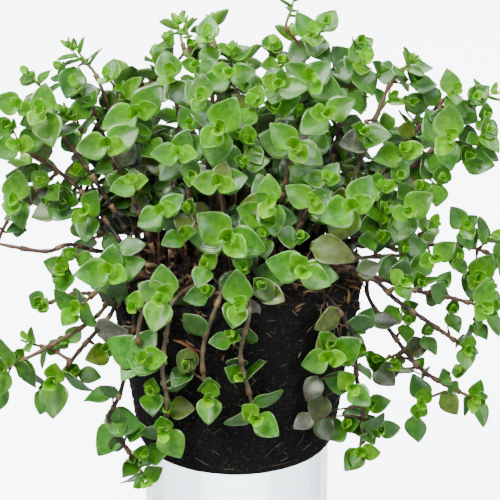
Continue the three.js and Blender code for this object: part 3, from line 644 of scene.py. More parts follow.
class Way:
    """A smooth curve through points, measured in mm from its tip."""

    DIVISIONS = 200

    def __init__(self, points):
        points = np.array(points, float)
        padded = np.concatenate([[2 * points[0] - points[1]], points, [2 * points[-1] - points[-2]]])
        spans = np.maximum(np.sum(np.diff(padded, axis=0) ** 2, axis=1) ** 0.25, 1e-4)[:, None]
        before, own, after = spans[:-2], spans[1:-1], spans[2:]
        a, b, c, d = padded[:-3], padded[1:-2], padded[2:-1], padded[3:]
        leaving = ((b - a) / before - (c - a) / (before + own) + (c - b) / own) * own
        arriving = ((c - b) / own - (d - b) / (own + after) + (d - c) / after) * own
        self.terms = [b, leaving, 3 * (c - b) - 2 * leaving - arriving, 2 * (b - c) + leaving + arriving]
        marks = self.at_share(np.linspace(0, 1, self.DIVISIONS + 1))
        self.runs = np.concatenate([[0], np.cumsum(np.linalg.norm(np.diff(marks, axis=0), axis=1))])
        self.length = self.runs[-1]

    def at_share(self, shares):
        count = len(self.terms[0])
        places = np.clip(shares, 0, 1) * count
        spans = np.minimum(places.astype(int), count - 1)
        t = (places - spans)[:, None]
        return sum(term[spans] * t**power for power, term in enumerate(self.terms))

    def share_of(self, from_tip):
        run = np.maximum(0, 1 - np.atleast_1d(from_tip) / self.length) * self.length
        return np.interp(run, self.runs, np.linspace(0, 1, self.DIVISIONS + 1))

    def at(self, from_tip):
        return self.at_share(self.share_of(from_tip))

    def towards(self, from_tip):
        shares = self.share_of(from_tip)
        steps = self.at_share(np.minimum(shares + 1e-4, 1)) - self.at_share(np.maximum(shares - 1e-4, 0))
        return steps / np.linalg.norm(steps, axis=1)[:, None]


def shoot_axis(shoot):
    """The way that a rosette looks: on from its stem, and by its face towards the eye or away from it."""
    tip, _, _, face = shoot[:4]
    if len(shoot) > 5:
        free = tip - seen(*shoot[5][-1])
    else:
        free = tip * LEVEL * 0.011 + UP
    looking = TOWARDS_EYE * ([1, -1, 1] if face < 0 else [1, 1, 1])
    return unit(unit(free) * (1 - abs(face)) + looking * abs(face))


def spiral(index, spacing):
    """How far a try of this index stands aside and ahead of the first."""
    radius = spacing * math.sqrt(index)
    return radius * math.cos(GOLDEN_TURN * index), radius * math.sin(GOLDEN_TURN * index)


def over_edge(point):
    """Where a stem that goes through this point bends over the edge of the ball."""
    edge = unit(point * LEVEL) * BALL_EDGE
    return np.array([edge[0], edge[1], max(point[2], SOIL_TOP + 4)])


def sweep(start, end, attempt):
    """The middle of a stem that bows up from its start to its end."""
    aside, ahead = spiral(attempt, BOW_SPACING)
    lift = 0.1 * attempt + 0.06 * np.linalg.norm(end - start)
    middle = (start + end) / 2 + np.array([aside, ahead, lift])
    low = end[2] < SOIL_TOP + 5 and math.hypot(middle[0], middle[1]) < BALL_EDGE
    return over_edge(middle) if low else middle


def stem_end(shoot, attempt):
    """The straight end of a stem: where it starts, its middle and its tip."""
    dx, dz = spiral(attempt, END_SPACING)
    tip = shoot[0] + np.array([dx, 0, dz])
    if len(shoot) > 5:
        approach = TIP_APPROACH
    else:
        approach = min(max(0.6 * (tip[2] - SOIL_TOP), LEAST_APPROACH), MOST_APPROACH)
    return [tip - shoot_axis(shoot) * approach * share for share in (1, 0.5, 0)]


def main_way(shoot, root, attempt):
    heights = [SOIL_TOP - HOLE_DEPTH + CLEARANCE, SOIL_TOP, SOIL_TOP + UPRIGHT]
    points = [np.array([root[0], root[1], height]) for height in heights]
    end = stem_end(shoot, attempt)
    if len(shoot) > 5:
        aside, ahead = spiral(attempt, WAY_SPACING)
        way = [seen(across + aside, up + 0.1 * attempt, back + ahead) for across, up, back in shoot[5]]
        if way[0][2] < SOIL_TOP + 3:
            points.append(over_edge(way[0]))
        points += way
    else:
        points.append(sweep(points[2], end[0], attempt))
    return Way(points + end)


class Stem:
    """A stem as its solid has it: its way, its radius and the shoot at its end."""

    def __init__(self, way, radius, shoot, upright):
        self.way, self.radius, self.shoot = way, radius, shoot
        self.axis = shoot_axis(shoot)
        self.spin = shoot[2]
        self.leaf_length = shoot[1]
        self.upright = upright
        places = LEAF_PLACES[:shoot[4]]
        end = way.length - upright
        bare = end - places[-1]
        steps = max(2, math.floor(bare / STEM_STEP + 0.5))
        self.places = places + [end - bare * (1 - step / steps) for step in range(1, steps + 1)]
        if upright:
            self.places.append(way.length)
        self.middles = self.way.at(self.places)


def has_section(tree, centre, radius):
    """Whether the solid has the three corners of a section round this centre."""
    near = tree.find_range(Vector(centre), radius + MATCH)
    return sum(abs(distance - radius) < MATCH for _, _, distance in near) >= 3


def found_stems(shoots, tree):
    """The stems of a vine, with each one's try picked out by where the solid's corners are."""
    foot_height = SOIL_TOP - HOLE_DEPTH + CLEARANCE
    low = [corner for corner in tree.corners if abs(corner[2] - foot_height) < SAME_HEIGHT]
    feet = [corner for corner in low if math.hypot(*corner[:2]) < FEET_WITHIN]
    root = np.mean(feet, axis=0)
    stems = []
    for place, shoot in enumerate(shoots):
        radius = BRANCH_RADIUS if place else STEM_RADIUS
        for attempt in range(MOST_TRIES):
            if has_section(tree.tree, stem_end(shoot, attempt)[2], radius):
                break
        else:
            raise ValueError(f"no tip for {shoot[:5]}")
        if place == 0:
            upright = HOLE_DEPTH - CLEARANCE + 0.8 * UPRIGHT
            stems.append(Stem(main_way(shoot, root, attempt), radius, shoot, upright))
            continue
        parent = stems[0]
        ends = parent.middles[parent.shoot[4] - 1:-1]
        end = stem_end(shoot, attempt)
        starts = sorted((ends[:-1] + ends[1:]) / 2, key=lambda start: np.linalg.norm(start - end[0]))
        for start in starts:
            stem = Stem(Way([start, sweep(start, end[0], attempt)] + end), radius, shoot, 0)
            if has_section(tree.tree, stem.middles[shoot[4]], radius):
                break
        else:
            raise ValueError(f"no start for {shoot[:5]}")
        stems.append(stem)
    return stems


class Corners:
    """The corners of a node's solid, in mm, and a tree to find them by."""

    def __init__(self, node):
        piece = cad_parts[node]
        corners = [piece.matrix_world @ vertex.co / MM for vertex in piece.data.vertices]
        self.corners = np.unique(np.round(corners, 3), axis=0)
        self.tree = kdtree.KDTree(len(self.corners))
        for index, corner in enumerate(self.corners):
            self.tree.insert(corner, index)
        self.tree.balance()

    def has(self, point):
        return self.tree.find(Vector(point))[2] < MATCH


vine_names = [f"vine_{number + 1:02d}" for number in range(len(vines))]
vine_corners = [Corners(name) for name in vine_names]
vine_stems = [found_stems(shoots, corners) for shoots, corners in zip(vines, vine_corners)]


def turned_about(vector, axis, angle):
    return (
        vector * math.cos(angle)
        + np.cross(axis, vector) * math.sin(angle)
        + axis * np.dot(axis, vector) * (1 - math.cos(angle))
    )


def leaf_axis(axis, tangent):
    """The axis that leaves open from, which leans at most so far from the stem."""
    lean = math.acos(np.clip(np.dot(axis, tangent), -1, 1))
    if lean <= MOST_LEAN:
        return axis
    return turned_about(tangent, unit(np.cross(tangent, axis)), MOST_LEAN)


def new_leaf(foot, along, normal, length, cup, bend):
    """A leaf: where its foot is, and which way it, its width and its upper side face."""
    across = np.cross(normal, along)
    axes = {"along": along, "normal": normal, "across": across}
    return {"foot": foot, **axes, "length": length, "cup": cup, "bend": bend}


def way_in_picture(spin):
    """The way that a picture shows at these degrees from the right, turning up."""
    return RIGHT * math.cos(math.radians(spin)) + PICTURE_UP * math.sin(math.radians(spin))


def leaf_on(stem, place, turn, opening, length, cup, bend):
    """The leaf at this place of a stem, turned about the stem and opened from its axis by these degrees."""
    tangent = stem.way.towards(place)[0]
    axis = leaf_axis(stem.axis, tangent)
    outward = turned_about(flat_to(way_in_picture(stem.spin), axis), axis, math.radians(turn))
    angle = math.radians(opening)
    along = axis * math.cos(angle) + outward * math.sin(angle)
    normal = axis * math.sin(angle) - outward * math.cos(angle)
    side = flat_to(outward + 0.5 * along, tangent)
    stand_off = stem.radius / 2 + 0.6 * LEAF_THICKNESS * max(0, math.cos(angle))
    return new_leaf(stem.way.at(place)[0] + side * stand_off, along, normal, length, cup, bend)


def rank_turn(index):
    return 180 * index + RANK_TWIST * (index - 2)


def ranked_leaf(stem, index, attempt, drawn):
    """The leaf of this index in the two ranks, at a try and with draws for its turn, opening and size."""
    turn, opening, scale = attempt
    return leaf_on(
        stem,
        LEAF_PLACES[index],
        rank_turn(index) + turn + drawn[0],
        LEAF_OPENINGS[index] + opening + drawn[1],
        stem.leaf_length * LEAF_SIZES[index] * scale * drawn[2],
        LEAF_CUPS[index],
        LEAF_BENDS[index],
    )


def solid_leaf(stem, corners, index, drawn):
    """The leaf of this index that the solid has, or None where it found no room."""
    for attempt in LEAF_TRIES:
        leaf = ranked_leaf(stem, index, attempt, drawn)
        tip = leaf["foot"] + leaf["along"] * leaf["length"] - leaf["normal"] * leaf["bend"] * leaf["length"]
        if corners.has(tip + leaf["normal"] * LEAF_THICKNESS / 2):
            opened = math.radians(HEART_OPENS[index])
            for side in ("along", "normal"):
                leaf[side] = turned_about(leaf[side], leaf["across"], opened)
            return leaf
    return None


vine_leaves = [[] for _ in vines]
HEART_OPENS = [22, 14, 6, 0, 0, 0, 0]  # degrees that a young leaf stands wider open than its solid
for index in range(max(stem.shoot[4] for stems in vine_stems for stem in stems)):
    for vine, stems in enumerate(vine_stems):
        for stem in stems:
            if index < stem.shoot[4]:
                drawn = [either(9), either(7), 1 + either(0.08)]
                leaf = solid_leaf(stem, vine_corners[vine], index, drawn)
                if leaf:
                    vine_leaves[vine].append((leaf, index))

# A leaf is a soft, thin blade with a pointed tip: closed skins of two sides, cupped, and waved a little. It
# turns from lime yellow in the heart of a shoot to mid green and then to dull dark green down the stem, and
# an old one goes olive or a greyish mauve before it dries.
BLADE_THICKNESS = 0.5
LEAF_WIDTH = 0.8  # of its length
MARGIN_THINNING = 0.6
FOOT_WIDTH = 0.1  # of its length
YOUNG_UNTIL = 0.3  # the age up to which a leaf is rounder, and hooded like a spoon
LEAF_AGES = [0, 0.14, 0.3, 0.42, 0.5, 0.58, 0.64]
YOUNG_TO_OLD = ["#98e818", "#74c018", "#589f18", "#4a8f18", "#408218", "#37701a", "#33621d", "#34561b"]
UNDERSIDES = ["#82b43a", "#68943a", "#59803c", "#646e46", "#6e6354"]
OLIVE = "#6f7426"
MAUVE = "#7c6c6c"


def shade(colours, share):
    """The colour at a share of the way along a row of colours."""
    places = np.linspace(0, 1, len(colours))
    rows = np.array([linear(colour) for colour in colours])
    return np.array([np.interp(share, places, rows[:, channel]) for channel in range(4)])


def half_width(share, youth):
    """Half the width of a leaf as a share of the whole; young ones are rounder."""
    return 0.5 * np.sin(np.pi * np.clip(share, 0, 1) ** (0.67 + 0.12 * youth)) ** (0.82 - 0.27 * youth)


def grid_faces(rows, columns):
    """The faces of a closed skin of two grids, the upper one first, with a rim between them."""
    under = rows * columns
    faces = []
    for row in range(rows - 1):
        for column in range(columns - 1):
            a = row * columns + column
            b, c, d = a + columns, a + columns + 1, a + 1
            faces.append((a, b, c, d))
            faces.append((under + a, under + d, under + c, under + b))
    rim = [*range(columns), *range(2 * columns - 1, under, columns)]
    rim += [*range(under - 2, under - columns - 1, -1), *range(under - 2 * columns, 0, -columns)]
    for one, other in zip(rim, rim[1:] + rim[:1]):
        faces.append((one, other, under + other, under + one))
    return faces


def blade_grid(shares, sides):
    """A leaf's points as shares of its length and of its half width, its rows and columns, and its faces."""
    share, side = (grid.ravel() for grid in np.meshgrid(shares, sides, indexing="ij"))
    return share, side, (len(shares), len(sides)), grid_faces(len(shares), len(sides))


FINE_ROWS = [-0.05, 0.04, 0.12, 0.23, 0.37, 0.52, 0.67, 0.8, 0.91, 0.99]
FINE = blade_grid(FINE_ROWS, [-1, -0.76, -0.4, 0, 0.4, 0.76, 1])
COARSE = blade_grid([-0.05, 0.06, 0.2, 0.4, 0.62, 0.84, 0.985], [-1, -0.6, 0, 0.6, 1])


def aged(age, chance):
    """The colours of a leaf's upper side and underside."""
    upper = shade(YOUNG_TO_OLD, age) * chance.uniform(0.54, 1.0) * [chance.uniform(0.85, 1.25), 1, 1, 1]
    under = shade(UNDERSIDES, age) * chance.uniform(0.85, 1.15)
    if age > 0.45 and chance.random() < 0.08 + 0.1 * age:
        upper = upper * 0.35 + linear(OLIVE) * 0.65
    elif age > 0.6 and chance.random() < 0.08:
        upper = upper * 0.3 + linear(MAUVE) * 0.7
    return upper, under


def add_blade(skin, leaf, age, chance, grid=FINE, colours=None):
    """The blade of a leaf, with its width, waves, twist and bent tip drawn for it."""
    share, side, size, faces = grid
    length = leaf["length"]
    youth = max(0, 1 - age / YOUNG_UNTIL)
    half = LEAF_WIDTH * length * half_width(share, youth) * chance.uniform(1.03, 1.2)
    half = np.hypot(half, FOOT_WIDTH * length * np.exp(-np.maximum(share, 0) / 0.1))
    clasp = np.clip(1 - share / 0.16, 0, 1) ** 2 * side**2 * 0.12 * length
    wave = 0.026 * length * np.sin(2 * np.pi * 1.3 * share + chance.uniform(0, 6.28)) * side * np.abs(side)
    fold = leaf["cup"] * (0.75 * side**2 + 0.25 * (1 - youth) * np.abs(side)) * half
    tip_bend = 0.06 * chance.uniform(-0.6, 1.4) * length * np.clip((share - 0.7) / 0.3, 0, 1) ** 2
    droop = leaf["bend"] * length * share * np.abs(share) + tip_bend
    twist = chance.uniform(-0.22, 0.22) * share * side * half
    spoon = 0.14 * youth * length * np.clip(share, 0, 1) ** 3
    rise = fold + clasp + wave * (1 - youth) + twist + spoon - droop
    sway = chance.uniform(-0.06, 0.06) * length * share**2
    points = (
        leaf["foot"]
        + leaf["along"] * (length * share)[:, None]
        + leaf["across"] * (side * half + sway)[:, None]
        + leaf["normal"] * rise[:, None]
    )
    rows = points.reshape(*size, 3)
    normals = np.cross(np.gradient(rows, axis=0), np.gradient(rows, axis=1)).reshape(-1, 3)
    normals /= np.linalg.norm(normals, axis=1)[:, None]
    thickness = BLADE_THICKNESS * min(1, 0.35 + length / 20) * (1 - MARGIN_THINNING * side**4)
    lift = normals * thickness[:, None] / 2
    upper, under = colours or aged(age, chance)
    places = np.stack([side, share, np.full(len(share), age)], axis=1)
    tints = np.concatenate([np.tile(upper, (len(share), 1)), np.tile(under, (len(share), 1))])
    skin.add(np.concatenate([points + lift, points - lift]), faces, tints, np.concatenate([places, places]))


# A stem is thin and round, with a slight knee at each leaf or old leaf scar. It is greenish and fleshy near
# its tip and turns reddish and then dark brown and wiry towards the soil; one that hangs in front stays grey.
STEM_SIDES = 8
RING_STEP = 1.3
KNEE_STEP = 8
YOUNG_TO_WIRY = ["#6fa824", "#7a7448", "#644636", "#4a3028", "#38241e", "#2d1e19", "#251915"]
WIRY_AT = 62  # mm from the tip
IN_FRONT = -50  # mm from the ball's axis
WEATHERED = "#8c8463"
WEATHERED_SHARE = 0.2
WEATHERED_IN_FRONT = 0.95
SCAR = "#8d6c4f"
# What an old leaf leaves behind is its sheath, a papery brown tube round the stem that opens towards the tip.
# A side stem starts in a swelling of the same brown. A row is mm along the stem and a share of its radius.
SHEATH = [(0, 0.9), (-0.3, 1.25), (-1.6, 1.3), (-3.2, 1.5), (-3.4, 0.8)]
SWELLING = [(0.1, 0.3), (-0.4, 1.3), (-1.2, 1.6), (-2.4, 1.3), (-3.2, 0.9)]
PAPERY = ["#75593c", "#5e4630", "#82694a"]


def add_collar(skin, way, place, radius, profile, colour):
    """A closed ring with the profile of a sheath or a swelling, at this place of a stem."""
    offsets, shares = np.array(profile).T
    places = np.clip(place + offsets, 0, way.length + 0.2)
    points = way.at(places) - way.towards(places) * np.maximum(places - way.length, 0)[:, None]
    skin.add(*tube(points, radius * shares, 8), linear(colour), kind=1)


def add_stem(skin, stem, thickness, chance, sides=STEM_SIDES):
    """A stem with its knees and what grows round it. It gives back the knees, in mm from its tip."""
    way = stem.way
    count = max(6, round(way.length / RING_STEP))
    places = np.linspace(way.length, 0, count)
    last = LEAF_PLACES[stem.shoot[4] - 1]
    knees = LEAF_PLACES[:stem.shoot[4]] + list(np.arange(last + KNEE_STEP, way.length, KNEE_STEP))
    gaps = np.min(np.abs(places[:, None] - np.array(knees)[None, :]), axis=1)
    age = np.clip(places / WIRY_AT, 0, 1)
    slim = 0.3 + 0.32 * np.clip(places / 5, 0, 1) + 0.38 * np.clip(places / 30, 0, 1)
    knee = 0.32 * np.exp(-((gaps / 0.9) ** 2)) * np.clip(places / 10, 0, 1)
    radii = thickness * slim * (1 + knee)
    points, faces = tube(way.at(places), radii, sides)
    tints = np.array([shade(YOUNG_TO_WIRY, share) for share in age]) * chance.uniform(0.85, 1.2)
    hangs_in_front = len(stem.shoot) > 5 and stem.shoot[0][1] < IN_FRONT
    if chance.random() < (WEATHERED_IN_FRONT if hangs_in_front else WEATHERED_SHARE):
        tints = tints * 0.45 + linear(WEATHERED) * 0.35
    scarred = (gaps < 0.8) & (places > 12)
    tints[scarred] = tints[scarred] * 0.6 + linear(SCAR) * 0.4
    skin.add(points, faces, np.repeat(tints, sides, axis=0), kind=1)
    for number, knee in enumerate(knees[stem.shoot[4]:-1:2]):
        add_collar(skin, way, knee, thickness, SHEATH, PAPERY[number % len(PAPERY)])
    if not stem.upright:
        add_collar(skin, way, way.length, thickness, SWELLING, PAPERY[1])
    return knees


# Between the shoots one looks down to the bare soil and the feet of the stems. One row for each such gap is
# [across, up, radius], as it is seen from in front; the leaves that fill the plant out keep clear of them.
GAPS = [
    [-8, 29, 8],
    [2, 32, 6],
    [-17, 31, 5],
    [-33, 11, 8],
    [-42, 2, 7],
    [-50, 14, 7],
    [-16, 4, 8],
    [-7, -2, 6],
    [-27, -3, 7],
    [-37, -4, 6],
    [40, -2, 9],
    [50, -3, 9],
    [56, 8, 8],
    [36, 14, 7],
    [26, 21, 6],
    [10, 5, 5],
    [20, 13, 5],
    [9, 61, 6],
    [-68, 33, 5],
]
BACK_OF_GAPS = 12
ROSETTE_CLEAR = 0.85  # of a rosette's leaf length, kept free in front of it
BARE_FOOT, BARE_START = 7, 5  # mm of a vine above the soil, and of a side stem, that bear no leaves
FAR_DOWN = 80  # mm of stem over which older leaves grow few and dark
LEFT_OUT = 0.45  # of the leaves between those of the solids


def in_view(point):
    """Where a point is seen: across and up, as for a tip."""
    towards = point - EYE
    scale = SIGHT_DISTANCE / -np.dot(towards, TOWARDS_EYE)
    return EYE[0] + scale * np.dot(towards, RIGHT), SIGHT_CENTRE[1] + scale * np.dot(towards, PICTURE_UP)


front_stems = [stem for stems in vine_stems for stem in stems if stem.shoot[3] >= 0]
front_tips = np.array([stem.shoot[0] for stem in front_stems])
front_clear = np.array([ROSETTE_CLEAR * stem.leaf_length for stem in front_stems])
tips_in_view = np.array([in_view(tip) for tip in front_tips])


def in_the_way(leaf):
    """Whether a leaf would fill a gap, or hide the heart of one of the large rosettes."""
    for share in (0.25, 0.6, 1):
        point = leaf["foot"] + leaf["along"] * leaf["length"] * share
        across, up = in_view(point)
        if point[1] < BACK_OF_GAPS and any(math.hypot(across - x, up - y) < radius for x, y, radius in GAPS):
            return True
        covered = np.linalg.norm(tips_in_view - [across, up], axis=1) < front_clear
        if np.any(covered & ((point - front_tips) @ TOWARDS_EYE > -1)):
            return True
    return False


def rosette_in_the_way(stem):
    return any(in_the_way(leaf_on(stem, 1, turn, 80, stem.leaf_length, 0, 0)) for turn in (0, 180))


def older_leaf(stem, place, turn, openings, size, chance):
    """A leaf that has turned out of its rank and opened to between these degrees."""
    return leaf_on(
        stem,
        place,
        turn + chance.uniform(-40, 40),
        chance.uniform(*openings),
        stem.leaf_length * chance.uniform(0.8, 1.05) * size,
        chance.uniform(0.05, 0.3),
        chance.uniform(0.0, 0.18),
    )


def add_older_leaves(skin, stem, knees, kept, chance):
    """Older leaves down the stem, fewer and darker towards the soil, of which this share is still there."""
    first = stem.shoot[4]
    for number, knee in enumerate(knees[first:], first):
        clear = stem.way.length - knee
        if clear < (HOLE_DEPTH + BARE_FOOT if stem.upright else BARE_START):
            break
        depth = min(1, (knee - LEAF_PLACES[first - 1]) / FAR_DOWN)
        if chance.random() > kept * (1 - 0.4 * depth):
            continue
        leaf = older_leaf(stem, knee, rank_turn(number), (62, 104), 1 - 0.15 * depth, chance)
        if not in_the_way(leaf):
            add_blade(skin, leaf, 0.55 + 0.42 * depth * chance.uniform(0.7, 1), chance, COARSE)


def add_heart(skin, stem, chance):
    """The furled youngest leaves in the middle of a rosette."""
    for turn, opening, size in ((100, 20, 0.3), (215, 36, 0.4)):
        leaf = leaf_on(stem, 0.3, turn + chance.uniform(-20, 20), opening, stem.leaf_length * size, 0.6, -0.1)
        add_blade(skin, leaf, 0.0, chance, COARSE)


def add_between(skin, stem, count, chance):
    """Leaves between those of the solid, which turn to where there is room."""
    for number in range(count):
        if chance.random() < LEFT_OUT:
            continue
        leaf = leaf_on(
            stem,
            (LEAF_PLACES[number + 1] + LEAF_PLACES[number + 2]) / 2,
            90 + rank_turn(number) + chance.uniform(-25, 25),
            LEAF_OPENINGS[number + 1] + chance.uniform(6, 26),
            stem.leaf_length * LEAF_SIZES[number + 1] * chance.uniform(0.75, 1.0),
            LEAF_CUPS[number + 2],
            LEAF_BENDS[number + 2],
        )
        if not in_the_way(leaf):
            add_blade(skin, leaf, LEAF_AGES[number + 2] + 0.08, chance)


def add_rosette(skin, stem, count, older, chance, grid=FINE):
    """The leaves of a shoot that the solids don't have, in the same two ranks."""
    for index in range(count):
        drawn = [chance.uniform(-12, 12), chance.uniform(-8, 10), chance.uniform(0.92, 1.06)]
        leaf = ranked_leaf(stem, index, LEAF_TRIES[0], drawn)
        add_blade(skin, leaf, LEAF_AGES[index] + older, chance, grid)


# Leaf tissue: a waxy, finely veined skin over pale green flesh that lets light through. It shines softly, its
# veins run from foot to tip, and its margin is thin and pale.
leaf_tissue = new_material(
    "leaf_tissue",
    {
        "Roughness": 0.28,
        "IOR": 1.42,
        "Specular IOR Level": 0.8,
        "Subsurface Weight": 0.25,
        "Subsurface Radius": (0.5 * MM, 1.2 * MM, 0.15 * MM),
        "Subsurface Scale": 1.0,
    },
)
tree = leaf_tissue.node_tree
VEINS = 7  # on each side of the rib
MOTTLE = 2.4  # mm
tint = add_node(tree, "Attribute", {}, attribute_name="tint")
place = add_node(tree, "Attribute", {}, attribute_name="place")
axes = add_node(tree, "SeparateXYZ", {"Vector": place.outputs["Vector"]})
where = add_node(tree, "TexCoord", {})
mottle = add_node(
    tree, "TexNoise", {"Vector": where.outputs["Object"], "Scale": 1 / (MOTTLE * MM), "Detail": 3.0}
)
wobble = add_node(tree, "Math", {0: mottle, 1: 0.12, 2: axes.outputs["X"]}, operation="MULTIPLY_ADD")
vein_turn = add_node(tree, "Math", {0: wobble, 1: 2 * math.pi * VEINS}, operation="MULTIPLY")
vein_wave = add_node(tree, "Math", {0: vein_turn}, operation="SINE")
vein_share = add_node(
    tree, "MapRange", {"Value": vein_wave, "From Min": 0.2, "From Max": 1.0, "To Max": 0.12}
)
veined = add_node(
    tree, "MixRGB", {"Fac": vein_share, "Color1": tint, "Color2": linear("#86a866")}, blend_type="SCREEN"
)
patches = add_node(tree, "MapRange", {"Value": mottle, "From Min": 0.35, "From Max": 0.65, "To Max": 0.75})
mottled = add_node(
    tree, "MixRGB", {"Fac": patches, "Color1": veined, "Color2": linear("#8aa878")}, blend_type="MULTIPLY"
)
from_rib = add_node(tree, "Math", {0: axes.outputs["X"]}, operation="ABSOLUTE")
edge = add_node(tree, "MapRange", {"Value": from_rib, "From Min": 0.92, "From Max": 1.0})
margin_growth = add_node(
    tree, "MapRange",
    {"Value": axes.outputs["Z"], "From Min": 0.1, "From Max": 0.6, "To Min": 0.05, "To Max": 0.34},
)
margin = add_node(tree, "Math", {0: edge, 1: margin_growth}, operation="MULTIPLY")
margined = add_node(tree, "MixRGB", {"Fac": margin, "Color1": mottled, "Color2": linear("#a9b98c")})
foot = add_node(
    tree, "MapRange", {"Value": axes.outputs["Y"], "From Min": 0.55, "From Max": 0.0, "To Max": 0.6}
)
youth = add_node(tree, "MapRange", {"Value": axes.outputs["Z"], "From Min": 0.7, "From Max": 0.3})
young_foot = add_node(tree, "Math", {0: foot, 1: youth}, operation="MULTIPLY")
footed = add_node(tree, "MixRGB", {"Fac": young_foot, "Color1": margined, "Color2": linear("#6bb50c")})
vein_bump = add_node(tree, "Bump", {"Height": vein_wave, "Strength": 0.22, "Distance": 0.1 * MM})
set_finish(leaf_tissue, {"Base Color": footed, "Normal": vein_bump})

# Stem tissue: fleshy and slightly shiny where young, wiry where old, streaked along its length.
stem_tissue = new_material("stem_tissue", {"Roughness": 0.5, "Specular IOR Level": 0.4})
tree = stem_tissue.node_tree
STREAK = 0.8  # mm
stem_tint = add_node(tree, "Attribute", {}, attribute_name="tint")
where = add_node(tree, "TexCoord", {})
streaks = add_node(tree, "TexNoise", {"Vector": where.outputs["Object"], "Scale": 1 / (STREAK * MM)})
streak_share = add_node(tree, "MapRange", {"Value": streaks, "From Min": 0.4, "From Max": 0.7, "To Max": 0.5})
streaked = add_node(
    tree, "MixRGB",
    {"Fac": streak_share, "Color1": stem_tint, "Color2": linear("#8a7a6c")}, blend_type="MULTIPLY",
)
set_finish(stem_tissue, {"Base Color": streaked})

# Each vine as it is drawn: the leaves of its rosettes, its stems with their knees and sheaths, the young
# hearts, leaves between these, fewer and older ones further down, and short side shoots with small rosettes
# of their own, which leave a stem at one of its knees.
STEM_DRAWN = 0.78  # of the radius of the solid's stem
SIDE_STEM, SIDE_STEM_DRAWN = 0.8, 0.55  # radii in mm
SIDE_SHOOTS = 0.24  # of the knees bear one
SIDE_SHOOT_CLEAR = 22  # mm from a stem's tip
OLDER_LEAVES, OLDER_ON_TRAILS = 0.9, 0.35  # of the knees bear one
chance = random.Random(29)


def side_shoot(stem, place, chance):
    """A short stem that leaves another one here, outwards and up, and ends in a small shoot."""
    start = stem.way.at(place)[0]
    away = unit(start * LEVEL * 0.012 + UP * 0.7)
    turn = chance.uniform(0, 2 * math.pi)
    away = unit(away + 0.75 * around(turn, 1, 0) + 0.45 * TOWARDS_EYE)
    reach = chance.uniform(9, 20)
    tip = start + away * reach
    shoot = [tip, chance.uniform(8, 12.5), chance.uniform(0, 360), chance.uniform(0.2, 0.8), 4]
    axis = shoot_axis(shoot)
    middle = start + (tip - start) * 0.5 + UP * 0.1 * reach
    return Stem(Way([start, middle, tip - axis * 4, tip - axis * 2, tip]), SIDE_STEM, shoot, 0)


for name, stems, leaves in zip(vine_names, vine_stems, vine_leaves):
    skin = Skin()
    for leaf, index in leaves:
        add_blade(skin, leaf, LEAF_AGES[index], chance)
    for stem in stems:
        knees = add_stem(skin, stem, STEM_DRAWN * stem.radius, chance)
        add_heart(skin, stem, chance)
        add_between(skin, stem, min(3, stem.shoot[4] - 1), chance)
        trails = len(stem.shoot) > 5
        add_older_leaves(skin, stem, knees, OLDER_ON_TRAILS if trails else OLDER_LEAVES, chance)
        for knee in knees[stem.shoot[4] + 1:]:
            clear = stem.way.length - knee
            if clear > SIDE_SHOOT_CLEAR and not trails and chance.random() < SIDE_SHOOTS:
                grown = side_shoot(stem, knee, chance)
                if rosette_in_the_way(grown):
                    continue
                add_stem(skin, grown, SIDE_STEM_DRAWN, chance)
                add_heart(skin, grown, chance)
                add_rosette(skin, grown, 4, 0.08, chance, COARSE)
    vine = skin.made(name + "_foliage", [leaf_tissue, stem_tissue])
    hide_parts(name)

